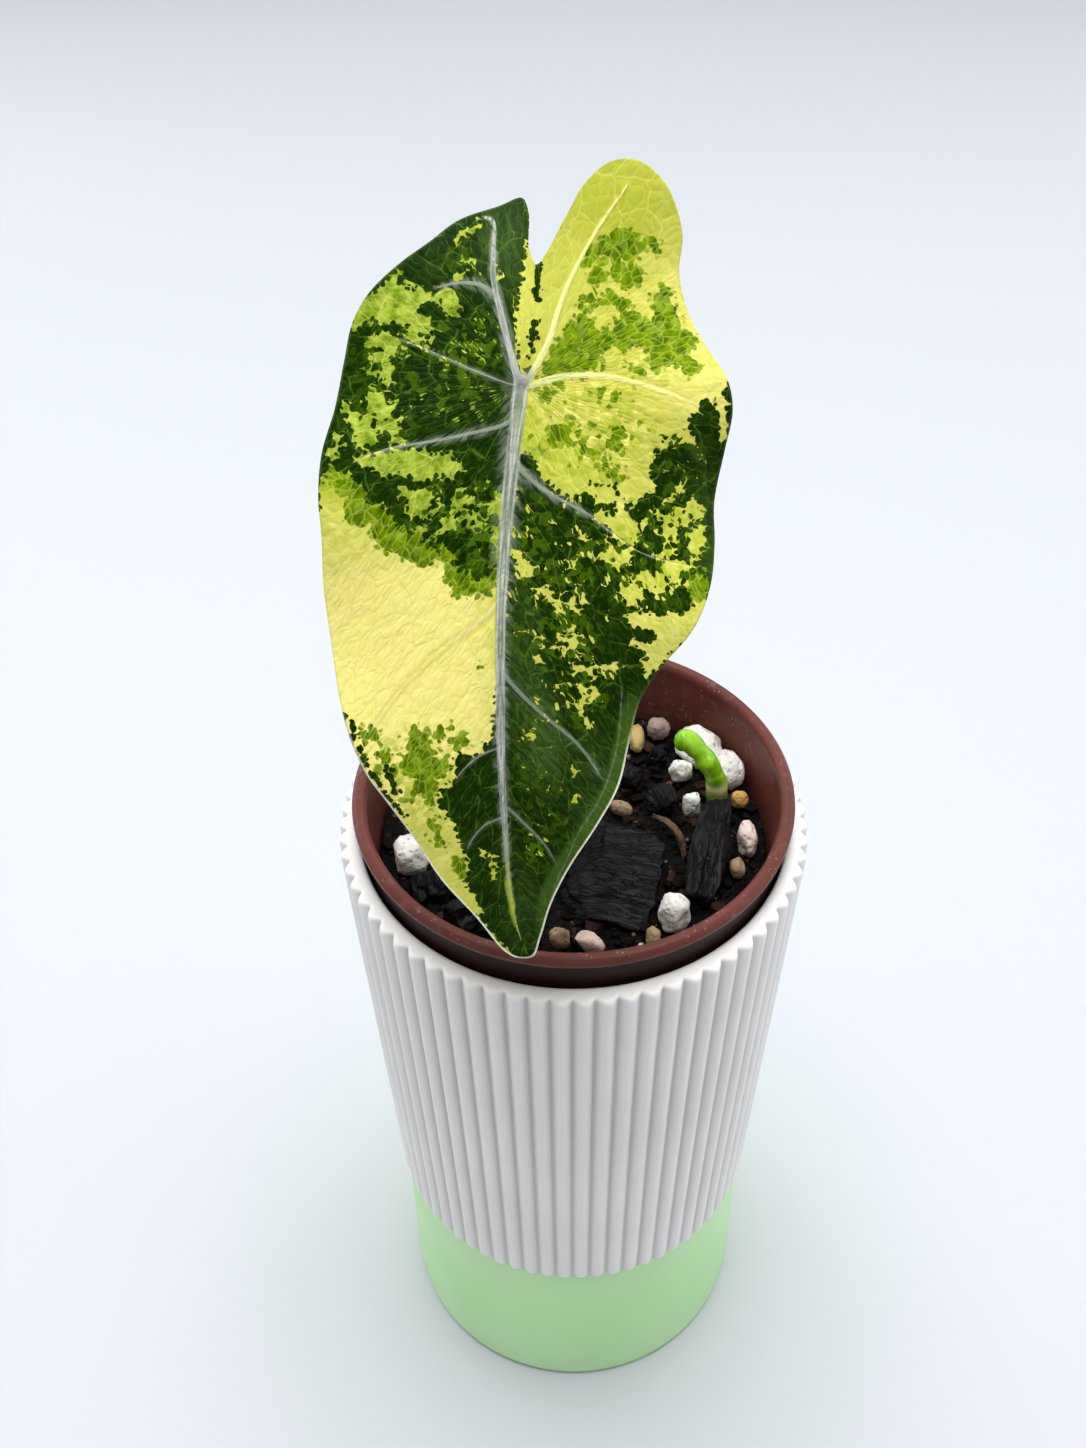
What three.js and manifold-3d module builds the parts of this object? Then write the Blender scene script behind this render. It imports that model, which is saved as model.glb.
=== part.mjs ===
// A young variegated alocasia with one leaf, in a tall nursery pot that stands in a two-tone planter.
// Millimetres, +Z up, the origin at the centre of the planter's underside, and -Y towards the viewer.

import * as THREE from "three";
import { mergeVertices } from "three/addons/utils/BufferGeometryUtils.js";
import Module from "manifold-3d";

const wasm = await Module();
wasm.setup();

// Driving dimensions of the planter: a smooth base cup under a ribbed sleeve.
const planterHeight = 168;
const skirtHeight = 53.5; // where the ribbed skirt ends on the base cup
const crestRadiusTop = 48.5;
const crestRadiusSkirt = 43.8;
const mouthRadius = 44;
const ribCount = 68;
const ribDepth = 1.7;
const sleeveFloor = { under: 61.75, top: 64.5 };
const sleeveFloorRadius = 41;
const skirtBoreRadius = 41.25;
const baseRadius = 42.75;
const baseNeckRadius = 40.9;
const baseNeckTop = 61.5;
const baseWall = 1.6;
const drainRadius = 3;

// Driving dimensions of the nursery pot, which stands on the sleeve's floor.
const potTop = 176.6;
const potLipRadius = 45.2;
const potCollarRadius = 43.4;
const potFootRadius = 33.4;
const potWall = 1.2;
const potFloorTop = 68;
const potSegments = 46;

// Driving dimensions of the potting mix and of the plant.
const mixLevel = 161;
const mixClearance = 0.3;
const holeClearance = 0.3;
const stemFoot = new THREE.Vector3(-5, 4, 163.5); // on top of the rootstock
const junction = new THREE.Vector3(-8.3, -16, 280.1); // where the petiole meets the blade
const bladeLength = 98; // along the midrib, from the junction to past the tip
const bladeThickness = 0.7;
const slopeAtJunction = 50; // degrees below the horizontal
const slopeAtTip = 76;
const slopeAtLobes = 46;
const lobeReach = 30;
const midribSway = -4; // sideways, halfway down the blade
const midribSwayLength = 95;
const petioleRadius = { foot: 3.4, top: 1.7 };

const degrees = Math.PI / 180;

// A seeded generator of numbers from 0 to 1.
function seeded(seed) {
  let state = seed >>> 0;
  return () => {
    state = (state + 0x6d2b79f5) >>> 0;
    let t = Math.imul(state ^ (state >>> 15), 1 | state);
    t = (t + Math.imul(t ^ (t >>> 7), 61 | t)) ^ t;
    return ((t ^ (t >>> 14)) >>> 0) / 4294967296;
  };
}

// Turns a closed geometry into a solid whose faces point out.
function solid(geometry) {
  const bare = geometry.index ? geometry.toNonIndexed() : geometry.clone();
  bare.deleteAttribute("normal");
  bare.deleteAttribute("uv");
  const merged = mergeVertices(bare, 1e-4);
  const vertProperties = new Float32Array(merged.attributes.position.array);
  const triVerts = new Uint32Array(merged.index.array);
  const made = new wasm.Manifold(new wasm.Mesh({ numProp: 3, vertProperties, triVerts }));
  if (made.volume() > 0) return made;
  for (let i = 0; i < triVerts.length; i += 3) {
    [triVerts[i + 1], triVerts[i + 2]] = [triVerts[i + 2], triVerts[i + 1]];
  }
  return new wasm.Manifold(new wasm.Mesh({ numProp: 3, vertProperties, triVerts }));
}

// The largest single body of a solid.
function largestBody(made) {
  return made.decompose().reduce((a, b) => (a.volume() > b.volume() ? a : b));
}

// A named mesh with its own material, from a solid.
function meshOf(name, made, look) {
  const { numProp, numVert, vertProperties, triVerts } = made.getMesh();
  const points = new Float32Array(numVert * 3);
  for (let i = 0; i < numVert; i++) {
    points.set(vertProperties.subarray(i * numProp, i * numProp + 3), i * 3);
  }
  const geometry = new THREE.BufferGeometry();
  geometry.setAttribute("position", new THREE.BufferAttribute(points, 3));
  geometry.setIndex(new THREE.BufferAttribute(triVerts, 1));
  geometry.computeVertexNormals();
  const mesh = new THREE.Mesh(geometry, new THREE.MeshStandardMaterial(look));
  mesh.name = name;
  return mesh;
}

// A solid of revolution about Z from a profile of [radius, height] points.
function turned(profile, segments) {
  const points = profile.map(([r, z]) => new THREE.Vector2(r, z));
  return solid(new THREE.LatheGeometry(points, segments).rotateX(Math.PI / 2));
}

// A closed skin from rings of equally many points, shut by a fan at each end.
function skinned(rings) {
  const count = rings[0].length;
  const points = rings.flat();
  const middle = (ring) => ring.reduce((a, b) => a.clone().add(b)).divideScalar(count);
  const first = points.push(middle(rings[0])) - 1;
  const last = points.push(middle(rings.at(-1))) - 1;
  const faces = [];
  for (let r = 0; r + 1 < rings.length; r++) {
    for (let i = 0; i < count; i++) {
      const a = r * count + i;
      const b = r * count + ((i + 1) % count);
      faces.push(a, b, b + count, a, b + count, a + count);
    }
  }
  for (let i = 0; i < count; i++) {
    const j = (i + 1) % count;
    faces.push(first, j, i, last, (rings.length - 1) * count + i, (rings.length - 1) * count + j);
  }
  const geometry = new THREE.BufferGeometry().setFromPoints(points);
  geometry.setIndex(faces);
  return solid(geometry);
}

// A round tube along a curve, with its radius given along the way.
function tapered(curve, steps, sides, radiusAt) {
  const frames = curve.computeFrenetFrames(steps, false);
  const rings = [];
  for (let i = 0; i <= steps; i++) {
    const centre = curve.getPointAt(i / steps);
    const ring = [];
    for (let k = 0; k < sides; k++) {
      const angle = (2 * Math.PI * k) / sides;
      const offset = frames.normals[i].clone().multiplyScalar(Math.cos(angle));
      offset.addScaledVector(frames.binormals[i], Math.sin(angle));
      ring.push(centre.clone().addScaledVector(offset, radiusAt(i / steps)));
    }
    rings.push(ring);
  }
  return skinned(rings);
}

// Base cup: a smooth cup with a shoulder that carries the sleeve's skirt.
function baseCup() {
  const inner = baseNeckRadius - baseWall;
  const floor = 2.6;
  return turned(
    [
      [0, 0],
      [baseRadius - 2, 0],
      [baseRadius - 0.5, 0.6],
      [baseRadius, 2],
      [baseRadius, skirtHeight - 0.8],
      [baseRadius - 0.5, skirtHeight],
      [baseNeckRadius, skirtHeight],
      [baseNeckRadius, baseNeckTop],
      [inner, baseNeckTop],
      [inner, floor + 1.5],
      [inner - 1.2, floor],
      [0, floor],
    ],
    56,
  );
}

// Round drain holes on a circle, as a list of upright pins to cut with.
function drainPins(count, circle, low, high) {
  return Array.from({ length: count }, (_, i) => {
    const pin = new THREE.CylinderGeometry(drainRadius, drainRadius, high - low, 10);
    pin.rotateX(Math.PI / 2);
    const angle = (2 * Math.PI * i) / count;
    pin.translate(circle * Math.cos(angle), circle * Math.sin(angle), (low + high) / 2);
    return solid(pin);
  });
}

// Ribbed sleeve: rounded pleats outside, a plain tapering bore and a drained floor inside.
function ribbedSleeve() {
  const section = [1, 0.32, 0, 0.32]; // depth of each point of one pleat, from valley to valley
  const ring = (z, crest, depth) =>
    Array.from({ length: ribCount * section.length }, (_, i) => {
      const angle = (2 * Math.PI * i) / (ribCount * section.length) - Math.PI / 2;
      const radius = crest - depth * section[i % section.length];
      return new THREE.Vector3(radius * Math.cos(angle), radius * Math.sin(angle), z);
    });
  const outside = skinned([
    ring(skirtHeight, crestRadiusSkirt - 0.5, ribDepth * 0.4),
    ring(skirtHeight + 1.2, crestRadiusSkirt, ribDepth * 0.65),
    ring(planterHeight - 0.8, crestRadiusTop, ribDepth),
    ring(planterHeight, crestRadiusTop - 0.7, ribDepth * 0.8),
  ]);
  const bore = turned(
    [
      [0, sleeveFloor.top],
      [sleeveFloorRadius, sleeveFloor.top],
      [mouthRadius, planterHeight - 0.9],
      [mouthRadius + 0.8, planterHeight + 0.1],
      [mouthRadius + 0.8, planterHeight + 2],
      [0, planterHeight + 2],
    ],
    72,
  );
  const skirtBore = turned(
    [
      [0, skirtHeight - 2],
      [skirtBoreRadius, skirtHeight - 2],
      [skirtBoreRadius, sleeveFloor.under],
      [0, sleeveFloor.under],
    ],
    72,
  );
  const pins = drainPins(6, 24, sleeveFloor.under - 1, sleeveFloor.top + 1);
  return pins.reduce((left, pin) => left.subtract(pin), outside.subtract(bore).subtract(skirtBore));
}

// Nursery pot: a rolled lip over a collar, a tapering wall, a foot ring and drain holes.
const potWallInside = (z) => {
  const share = (z - potFloorTop) / (potTop - 12 - potFloorTop);
  return potFootRadius - 0.4 + share * (potCollarRadius - 1.1 - potWall - potFootRadius + 0.4);
};
function nurseryPot() {
  const body = turned(
    [
      [0, potFloorTop - 2],
      [potFootRadius - 4, potFloorTop - 2],
      [potFootRadius - 3.6, sleeveFloor.top],
      [potFootRadius, sleeveFloor.top],
      [potFootRadius + 0.8, sleeveFloor.top + 1],
      [potCollarRadius - 1.1, potTop - 12],
      [potCollarRadius, potTop - 10.8],
      [potCollarRadius + 0.1, potTop - 2.4],
      [potLipRadius - 0.4, potTop - 2.3],
      [potLipRadius, potTop - 1.7],
      [potLipRadius - 0.1, potTop - 0.8],
      [potLipRadius - 0.8, potTop - 0.15],
      [potLipRadius - 1.7, potTop],
      [potLipRadius - 2.6, potTop - 0.2],
      [potCollarRadius - 1.3, potTop - 0.9],
      [potCollarRadius - 1.4, potTop - 4],
      [potWallInside(potTop - 12), potTop - 12],
      [potWallInside(potFloorTop), potFloorTop],
      [0, potFloorTop],
    ],
    potSegments,
  );
  const pins = drainPins(8, 18, potFloorTop - 4, potFloorTop + 1);
  return pins.reduce((left, pin) => left.subtract(pin), body);
}

// The blade, as a sheet over its own flat coordinates: along the midrib and across it.

// Where the sheet's straight centre line runs, and which way its upper face looks, at a distance along.
function bladeSpine(along) {
  const start = slopeAtJunction * degrees;
  const turn =
    along >= 0
      ? ((slopeAtTip - slopeAtJunction) * degrees) / bladeLength
      : ((slopeAtJunction - slopeAtLobes) * degrees) / lobeReach;
  const slope = start + turn * along;
  const y = -(Math.sin(slope) - Math.sin(start)) / turn;
  const z = (Math.cos(slope) - Math.cos(start)) / turn;
  return {
    point: new THREE.Vector3(0, y, z).add(junction),
    up: new THREE.Vector3(0, -Math.sin(slope), Math.cos(slope)),
  };
}

// How far the midrib swings off that centre line.
const midribOffset = (along) =>
  along <= 0 ? 0 : midribSway * Math.sin((Math.PI * Math.min(along, midribSwayLength)) / midribSwayLength);

// Height of the sheet: a groove at the midrib, arched halves, waved margins and curled lobes.
function bladeHeight(across, along) {
  const fromMidrib = across - midribOffset(along);
  const reach = Math.hypot(fromMidrib, 1.5) - 1.5;
  const edge = Math.min(Math.abs(across) / 30, 1.4) ** 2;
  const lobe = Math.max(-along - 12, 0) ** 2;
  const right = 0.5 * (1 + Math.tanh((across - 2.2) / 1.2)); // 1 on the right half, 0 on the left
  const arch = 0.26 * reach - 0.0105 * fromMidrib * fromMidrib;
  const rightSide = edge * 2.2 * Math.sin((2 * Math.PI * (along + 6)) / 34) + lobe * 0.002;
  const leftSide = edge * 1.5 * Math.sin((2 * Math.PI * (along - 4)) / 46) - lobe * 0.01;
  return arch + right * rightSide + (1 - right) * leftSide;
}

function bladePoint(across, along, depth) {
  const { point, up } = bladeSpine(along);
  return point.addScaledVector(up, bladeHeight(across, along) - depth).add(new THREE.Vector3(across, 0, 0));
}

// The blade's margin as [across, along], from the left lobe's tip down to the leaf tip and back up to the notch.
const margin = [
  [0.5, -29], [-3, -27.5], [-9, -25], [-13.5, -21.5], [-18.5, -18], [-23, -14], [-25.5, -10],
  [-27, -4], [-28.5, 3], [-30.5, 9.5], [-31.2, 16], [-31, 22], [-31.2, 31], [-30.5, 39],
  [-29.6, 47], [-28, 54], [-25.5, 60], [-22.9, 64], [-18.6, 71], [-14.7, 78.5],
  [-9.2, 86], [-4.6, 93.2], [-2.4, 94.8], [0, 94.8], [1.4, 90.7], [3.2, 84], [6.2, 77],
  [11, 68.8], [14.3, 62.5], [16, 55.5], [17.8, 48.5], [21.4, 43], [26, 37.5], [28.7, 31],
  [29.6, 24.5], [29.6, 18], [31, 10], [32, 4], [31, -1], [28, -5.7], [25.4, -11.2],
  [24.2, -17], [24.7, -22.5], [22, -29.3], [18, -32.5], [14, -32.4], [10, -29.3],
  [6.9, -24.3], [2.6, -17.9], [1.5, -21], [1.6, -26],
];

// A number of points along the margin, smoothly joined.
function marginPoints(count) {
  const curve = new THREE.CatmullRomCurve3(
    margin.map(([x, s]) => new THREE.Vector3(x, s, 0)),
    true,
    "centripetal",
  );
  return Array.from({ length: count }, (_, i) => curve.getPoint(i / count));
}

// Main veins as [across, along] points, with their radius at the root and at the end.
const veins = [
  { radius: [1.5, 0.45], path: [[0, -0.5], [-1.1, 8], [-2.6, 20], [-3.8, 35], [-4, 47.5], [-3.7, 60], [-2.7, 75], [-1.4, 90]] },
  { radius: [1.1, 0.4], path: [[0, 1], [-1.6, -5.2], [-3, -11.2], [-3.9, -16], [-3.9, -21], [-3.4, -25.5]] },
  { radius: [1.1, 0.4], path: [[0, 1], [2.1, -2.4], [4.2, -6.2], [5.8, -11], [7.8, -15.7], [11.8, -22.6], [16.5, -29]] },
  { radius: [0.8, 0.35], path: [[0, 0.4], [6.5, -1], [13, -0.8], [21.9, 1.7], [28, 4.2]] },
  { radius: [0.7, 0.35], path: [[0, 0.4], [-6.7, -1], [-12, -3.4], [-18, -7], [-23, -9.5]] },
  { radius: [0.8, 0.35], path: [[-0.6, 5.2], [-6.9, 7], [-13.6, 8.3], [-20.3, 9.3], [-27.5, 11.5]] },
  { radius: [0.8, 0.35], path: [[-1.4, 11], [1.8, 14.2], [7.1, 18], [12.8, 22.3], [20, 25.8], [26, 27.5]] },
  { radius: [0.8, 0.35], path: [[-3.7, 32.5], [-7.6, 36], [-12.2, 39.2], [-17, 43.4], [-22, 49], [-26, 55]] },
  { radius: [0.8, 0.35], path: [[-4, 42], [-2.9, 45], [3, 51], [7.5, 55], [10.6, 59.5], [12.6, 63]] },
  { radius: [0.6, 0.3], path: [[-3.9, 55], [-7, 58.5], [-11, 63], [-14, 68], [-15.6, 73]] },
  { radius: [0.6, 0.3], path: [[-3.5, 65], [-1, 69], [2.5, 73], [4.6, 77.5]] },
];

// Leaf blade: a thin waved sheet on rays from the junction, with the veins standing out of its underside.
function leafBlade() {
  const edge = marginPoints(78);
  const count = edge.length;
  const shares = [0.17, 0.34, 0.5, 0.65, 0.79, 0.91, 1];
  const points = [];
  const faces = [];
  const side = (depth) => {
    const start = points.length;
    points.push(bladePoint(0, 0, depth));
    shares.forEach((share) => edge.forEach((e) => points.push(bladePoint(e.x * share, e.y * share, depth))));
    return start;
  };
  const upper = side(0);
  const lower = side(bladeThickness);
  const at = (start, ring, i) => start + 1 + ring * count + (i % count);
  for (let i = 0; i < count; i++) {
    faces.push(upper, at(upper, 0, i), at(upper, 0, i + 1));
    faces.push(lower, at(lower, 0, i + 1), at(lower, 0, i));
    for (let r = 0; r + 1 < shares.length; r++) {
      const [a, b, c, d] = [at(upper, r, i), at(upper, r, i + 1), at(upper, r + 1, i + 1), at(upper, r + 1, i)];
      const under = lower - upper;
      faces.push(a, d, c, a, c, b);
      faces.push(a + under, c + under, d + under, a + under, b + under, c + under);
    }
    const rim = shares.length - 1;
    faces.push(at(upper, rim, i), at(lower, rim, i), at(lower, rim, i + 1));
    faces.push(at(upper, rim, i), at(lower, rim, i + 1), at(upper, rim, i + 1));
  }
  const geometry = new THREE.BufferGeometry().setFromPoints(points);
  geometry.setIndex(faces);
  const ribs = veins.map(({ radius: [root, end], path }) => {
    const line = new THREE.CatmullRomCurve3(path.map(([x, s]) => new THREE.Vector3(x, s, 0)));
    const steps = path.length + 2;
    const seated = Array.from({ length: steps + 1 }, (_, i) => {
      const p = line.getPoint(i / steps);
      const radius = root + ((end - root) * i) / steps;
      return bladePoint(p.x, p.y, bladeThickness * 0.5 + radius * 0.9);
    });
    return tapered(new THREE.CatmullRomCurve3(seated), steps, 5, (t) => root + (end - root) * t);
  });
  return largestBody([...ribs, petioleStub()].reduce((a, b) => a.add(b), solid(geometry)));
}

// Petiole: from its sheath in the mix up to the junction, where the blade's own stub takes over.
const petioleCurve = new THREE.CatmullRomCurve3([
  stemFoot.clone().add(new THREE.Vector3(0, 0, -1)),
  stemFoot.clone().add(new THREE.Vector3(0, 0, 12)),
  new THREE.Vector3(-5.2, 5, 208),
  new THREE.Vector3(-6.4, 2, 243),
  new THREE.Vector3(-7.9, -8, 268),
  junction.clone().add(new THREE.Vector3(0, 1, -1.6)),
]);
const petioleEnd = 0.945; // share of the curve that is petiole; the rest is the blade's stub
const petioleRadiusAt = (t) => {
  const sheath = Math.exp(-((t / 0.12) ** 2));
  return petioleRadius.top + (petioleRadius.foot - petioleRadius.top) * (0.35 * (1 - t) + 0.65 * sheath);
};
// A stretch of the petiole's curve as a curve of its own.
function stretch(from, to) {
  const count = 12;
  const points = Array.from({ length: count + 1 }, (_, i) =>
    petioleCurve.getPointAt(from + ((to - from) * i) / count),
  );
  return new THREE.CatmullRomCurve3(points);
}
const petioleStub = () => tapered(stretch(petioleEnd, 1), 3, 8, (t) => petioleRadius.top + 0.05 * t);
function petiole() {
  const stalk = tapered(stretch(0, petioleEnd - 0.003), 16, 8, (t) => petioleRadiusAt(t * petioleEnd));
  const below = new THREE.BoxGeometry(20, 20, 10).translate(stemFoot.x, stemFoot.y, stemFoot.z - 5);
  return stalk.subtract(solid(below)); // a flat foot on the rootstock's crown
}

// Rootstock: the swollen stem base, sunk in the mix, with the petiole on its crown.
const rootstockRadius = 5.8;
const rootstockHeight = 19;
function rootstock() {
  const profile = [
    [0, -rootstockHeight],
    [2.8, -rootstockHeight],
    [rootstockRadius - 0.6, -12],
    [rootstockRadius, -6],
    [rootstockRadius - 0.3, -2.6],
    [petioleRadius.foot + 0.6, 0],
    [0, 0],
  ];
  return turned(profile, 20).translate(stemFoot.toArray());
}
function rootstockHole() {
  const hole = new THREE.CylinderGeometry(rootstockRadius + holeClearance, rootstockRadius + holeClearance, 30, 20);
  hole.rotateX(Math.PI / 2).translate(stemFoot.x, stemFoot.y, stemFoot.z - rootstockHeight + 15);
  return solid(hole);
}

// New shoot: a short curved spear with a swollen joint, behind the long piece of charcoal.
const shootCurve = new THREE.CatmullRomCurve3([
  new THREE.Vector3(31.1, 9.3, 157),
  new THREE.Vector3(31, 9.3, 163),
  new THREE.Vector3(30.7, 9.2, 167),
  new THREE.Vector3(29.6, 9.6, 170.5),
  new THREE.Vector3(27.6, 10.8, 173.8),
  new THREE.Vector3(24.6, 12, 176.6),
  new THREE.Vector3(21.6, 12, 177.7),
]);
const shootRadiusAt = (t) => {
  const joint = 0.3 * Math.exp(-(((t - 0.62) / 0.07) ** 2));
  const tip = Math.sqrt(Math.max(1 - Math.max((t - 0.9) / 0.1, 0) ** 2, 0.08));
  return (2 + 0.25 * t + joint) * tip;
};
const newShoot = () => tapered(shootCurve, 12, 9, shootRadiusAt);

// Soft bumps over a direction, from three sines whose phases come from the seed.
function bumps(direction, seed) {
  const { x, y, z } = direction;
  return (
    Math.sin(3.1 * x + 2.3 * y + seed) * 0.5 +
    Math.sin(4.7 * y - 2.9 * z + seed * 1.7) * 0.3 +
    Math.sin(5.3 * z + 3.7 * x + seed * 2.3) * 0.3
  );
}

// A rounded stone: a ball of facets stretched to its half sizes and roughened.
function stone({ at, half, turn = 0, tilt = 0, seed = 1, rough = 0.16 }, grow = 0, small = false) {
  const ball = small ? new THREE.DodecahedronGeometry(1, 0) : new THREE.IcosahedronGeometry(1, 1);
  const points = ball.attributes.position;
  for (let i = 0; i < points.count; i++) {
    const d = new THREE.Vector3().fromBufferAttribute(points, i).normalize();
    const scale = 1 + rough * bumps(d, seed);
    points.setXYZ(i, d.x * (half[0] * scale + grow), d.y * (half[1] * scale + grow), d.z * (half[2] * scale + grow));
  }
  ball.rotateX(tilt * degrees).rotateZ(turn * degrees).translate(...at);
  return solid(ball);
}

// A broken block of charcoal: a box with clipped corners and split faces, wider at one end if it tapers.
function block({ at, half, turn = 0, tilt = 0, seed = 1, rough = 0.16, taper = 0 }, grow = 0) {
  const box = new THREE.BoxGeometry(2, 2, 2, 2, 3, 2);
  const points = box.attributes.position;
  for (let i = 0; i < points.count; i++) {
    const d = new THREE.Vector3().fromBufferAttribute(points, i);
    const corner = Math.max(Math.abs(d.x * d.y), Math.abs(d.y * d.z), Math.abs(d.x * d.z)) > 0.9 ? 0.9 : 1;
    const scale = corner * (1 + rough * bumps(d.clone().multiplyScalar(1.3), seed * 3.1));
    const wide = half[0] * (1 - taper * d.y);
    points.setXYZ(i, d.x * (wide * scale + grow), d.y * (half[1] * scale + grow), d.z * (half[2] * scale + grow));
  }
  box.rotateX(tilt * degrees).rotateZ(turn * degrees).translate(...at);
  return solid(box);
}

// Charcoal pieces that lie in the mix.
const charcoals = [
  { at: [7.6, -12.2, 162.6], half: [9, 13.2, 4], turn: -14, tilt: 3, seed: 1.1, rough: 0.06, taper: 0.14 },
  { at: [27.8, -7.8, 164.6], half: [4.1, 13.8, 4.2], turn: -14, tilt: 5, seed: 2.4, rough: 0.1, taper: 0.05 },
  { at: [19, 7, 163.6], half: [3.5, 3.4, 3.8], turn: 20, seed: 3.2 },
  { at: [12.8, 14.2, 163.2], half: [3.5, 3.3, 3.6], turn: -20, seed: 4.6 },
  { at: [18.6, 21, 163.2], half: [2.8, 2.6, 3], turn: 15, seed: 5.9 },
  { at: [-29.6, -15.4, 163.4], half: [4, 3.6, 3.4], turn: 15, seed: 5.3 },
  { at: [-22.4, -22.4, 163.6], half: [4.4, 4, 3.8], turn: -38, seed: 6.7 },
  { at: [-16.4, 19.4, 163], half: [7.2, 4.4, 3.8], turn: 28, seed: 7.9 },
  { at: [-20, -4, 162.8], half: [4.6, 5, 3.2], turn: -30, seed: 8.8 },
  { at: [3, 25.6, 163], half: [5.2, 3.6, 3.6], turn: 10, seed: 9.4 },
];

// White pumice stones. The first is two lobes grown together.
const pumices = [
  { at: [28, 22.9, 164.4], half: [5.4, 4.4, 4.4], turn: -40, seed: 1.5, lobe: [5, -6.8, 0] },
  { at: [23.8, 16.4, 163.6], half: [2.6, 2.3, 2.6], seed: 2.2 },
  { at: [25.3, 5.6, 164.6], half: [2.1, 1.9, 3.1], seed: 3.1 },
  { at: [36, -4.2, 164.2], half: [2.1, 3.8, 3.6], seed: 4.4 },
  { at: [19.6, -23.4, 164], half: [3.3, 3.4, 4.2], seed: 5.8 },
  { at: [-33.6, -6.8, 164], half: [3.8, 4, 4.3], seed: 6.1 },
  { at: [-31.6, 12, 163.2], half: [4.4, 3.6, 3.4], turn: 30, seed: 7.2 },
  { at: [-3.6, 33.6, 163], half: [3.8, 3, 3.2], seed: 8.5 },
  { at: [-26, 27, 162.8], half: [3.2, 3.2, 2.8], seed: 9.3 },
  { at: [-10.6, -11.4, 162.6], half: [3.6, 3, 2.8], turn: -30, seed: 10.4 },
  { at: [10.6, 34, 162.8], half: [3.2, 2.6, 2.8], turn: -20, seed: 11.6 },
];

// Small tan and brown pebbles.
const pebbles = [
  { at: [14.8, 27.4, 163.2], half: [1.8, 3.8, 2.3], seed: 1.3 },
  { at: [19.8, 29.6, 163.8], half: [2.5, 2.3, 2.5], seed: 2.6 },
  { at: [35.6, 7.4, 163.8], half: [1.8, 1.8, 1.9], seed: 3.5 },
  { at: [-3.4, -29, 163.8], half: [2.1, 1.9, 2.2], seed: 4.1 },
  { at: [2.4, -30.4, 163.8], half: [3.1, 1.7, 2.1], turn: -32, seed: 5.5 },
  { at: [15, -29, 163.4], half: [1.5, 1.9, 2], seed: 6.6 },
  { at: [33.2, -11.6, 163.6], half: [1.6, 2, 2], seed: 7.4 },
  { at: [-30, 19.4, 162.4], half: [2, 2.4, 2], seed: 8.1 },
  { at: [-24.6, 4.4, 162.4], half: [2.4, 2, 2], seed: 9.7 },
  { at: [-14.6, 31.6, 162.4], half: [2.4, 2.2, 2], seed: 10.2 },
  { at: [-12, -21.4, 162.6], half: [2, 2, 2], seed: 11.8 },
  { at: [10.4, 7, 162.2], half: [2.6, 1.5, 1.8], turn: -25, seed: 12.5 },
  { at: [26.8, -27.4, 162.8], half: [2.2, 1.8, 1.9], turn: 30, seed: 13.3 },
];

// A sliver of bark that leans on the big slab of charcoal.
const barkCurve = new THREE.CatmullRomCurve3([
  new THREE.Vector3(16.6, 0.9, 166.4),
  new THREE.Vector3(19.6, -0.4, 165.6),
  new THREE.Vector3(22, -2.8, 164),
  new THREE.Vector3(22.8, -4.6, 162.2),
  new THREE.Vector3(23, -6, 160.4),
]);
const barkRadiusAt = (t) => 0.35 + 0.4 * Math.sin(Math.PI * Math.min(Math.max(t, 0.06), 0.94));

const pebble = (spec, grow) => stone(spec, grow, true);
function pumice(spec, grow) {
  const body = stone(spec, grow);
  if (!spec.lobe) return body;
  const at = spec.at.map((value, i) => value + spec.lobe[i]);
  return body.add(stone({ ...spec, at, half: [5, 3.9, 4.2], turn: -62, seed: 2.9 }, grow));
}

// Potting mix: fills the pot, with a rubble of small grains on top and a socket for each thing bedded in it.
function pottingMix(bedded) {
  const segments = 36;
  const ringRadii = [37, 31, 25, 19, 13, 7];
  const circle = (radius, heightAt) =>
    Array.from({ length: segments }, (_, i) => {
      const angle = (2 * Math.PI * i) / segments;
      const x = radius * Math.cos(angle);
      const y = radius * Math.sin(angle);
      return new THREE.Vector3(x, y, heightAt(x, y));
    });
  const relief = (x, y) => mixLevel + 0.5 * Math.sin(0.55 * x + 1.3) * Math.cos(0.47 * y) + 0.4 * Math.sin(0.31 * (x + y));
  const flute = Math.cos(Math.PI / potSegments); // the middle of one of the wall's facets
  const wallRadius = (z) => (potWallInside(z) - mixClearance) * flute;
  const mass = skinned([
    circle(wallRadius(potFloorTop) - 0.3, () => potFloorTop),
    circle(wallRadius(mixLevel - 1), () => mixLevel - 1),
    ...ringRadii.map((radius) => circle(radius, relief)),
  ]);
  const draw = seeded(77);
  const grains = Array.from({ length: 30 }, () => {
    const radius = 37.5 * Math.sqrt(draw());
    const angle = 2 * Math.PI * draw();
    const size = 1.1 + 1.3 * draw();
    const x = radius * Math.cos(angle);
    const y = radius * Math.sin(angle);
    const grain = new THREE.IcosahedronGeometry(size, 0);
    grain.scale(1, 0.7 + 0.5 * draw(), 0.8);
    grain.rotateZ(Math.PI * draw()).rotateX(draw()).translate(x, y, relief(x, y) + 0.15 * size);
    return solid(grain);
  });
  const rubble = wasm.Manifold.union([mass, ...grains]);
  return largestBody(rubble.subtract(wasm.Manifold.union(bedded)));
}

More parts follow.
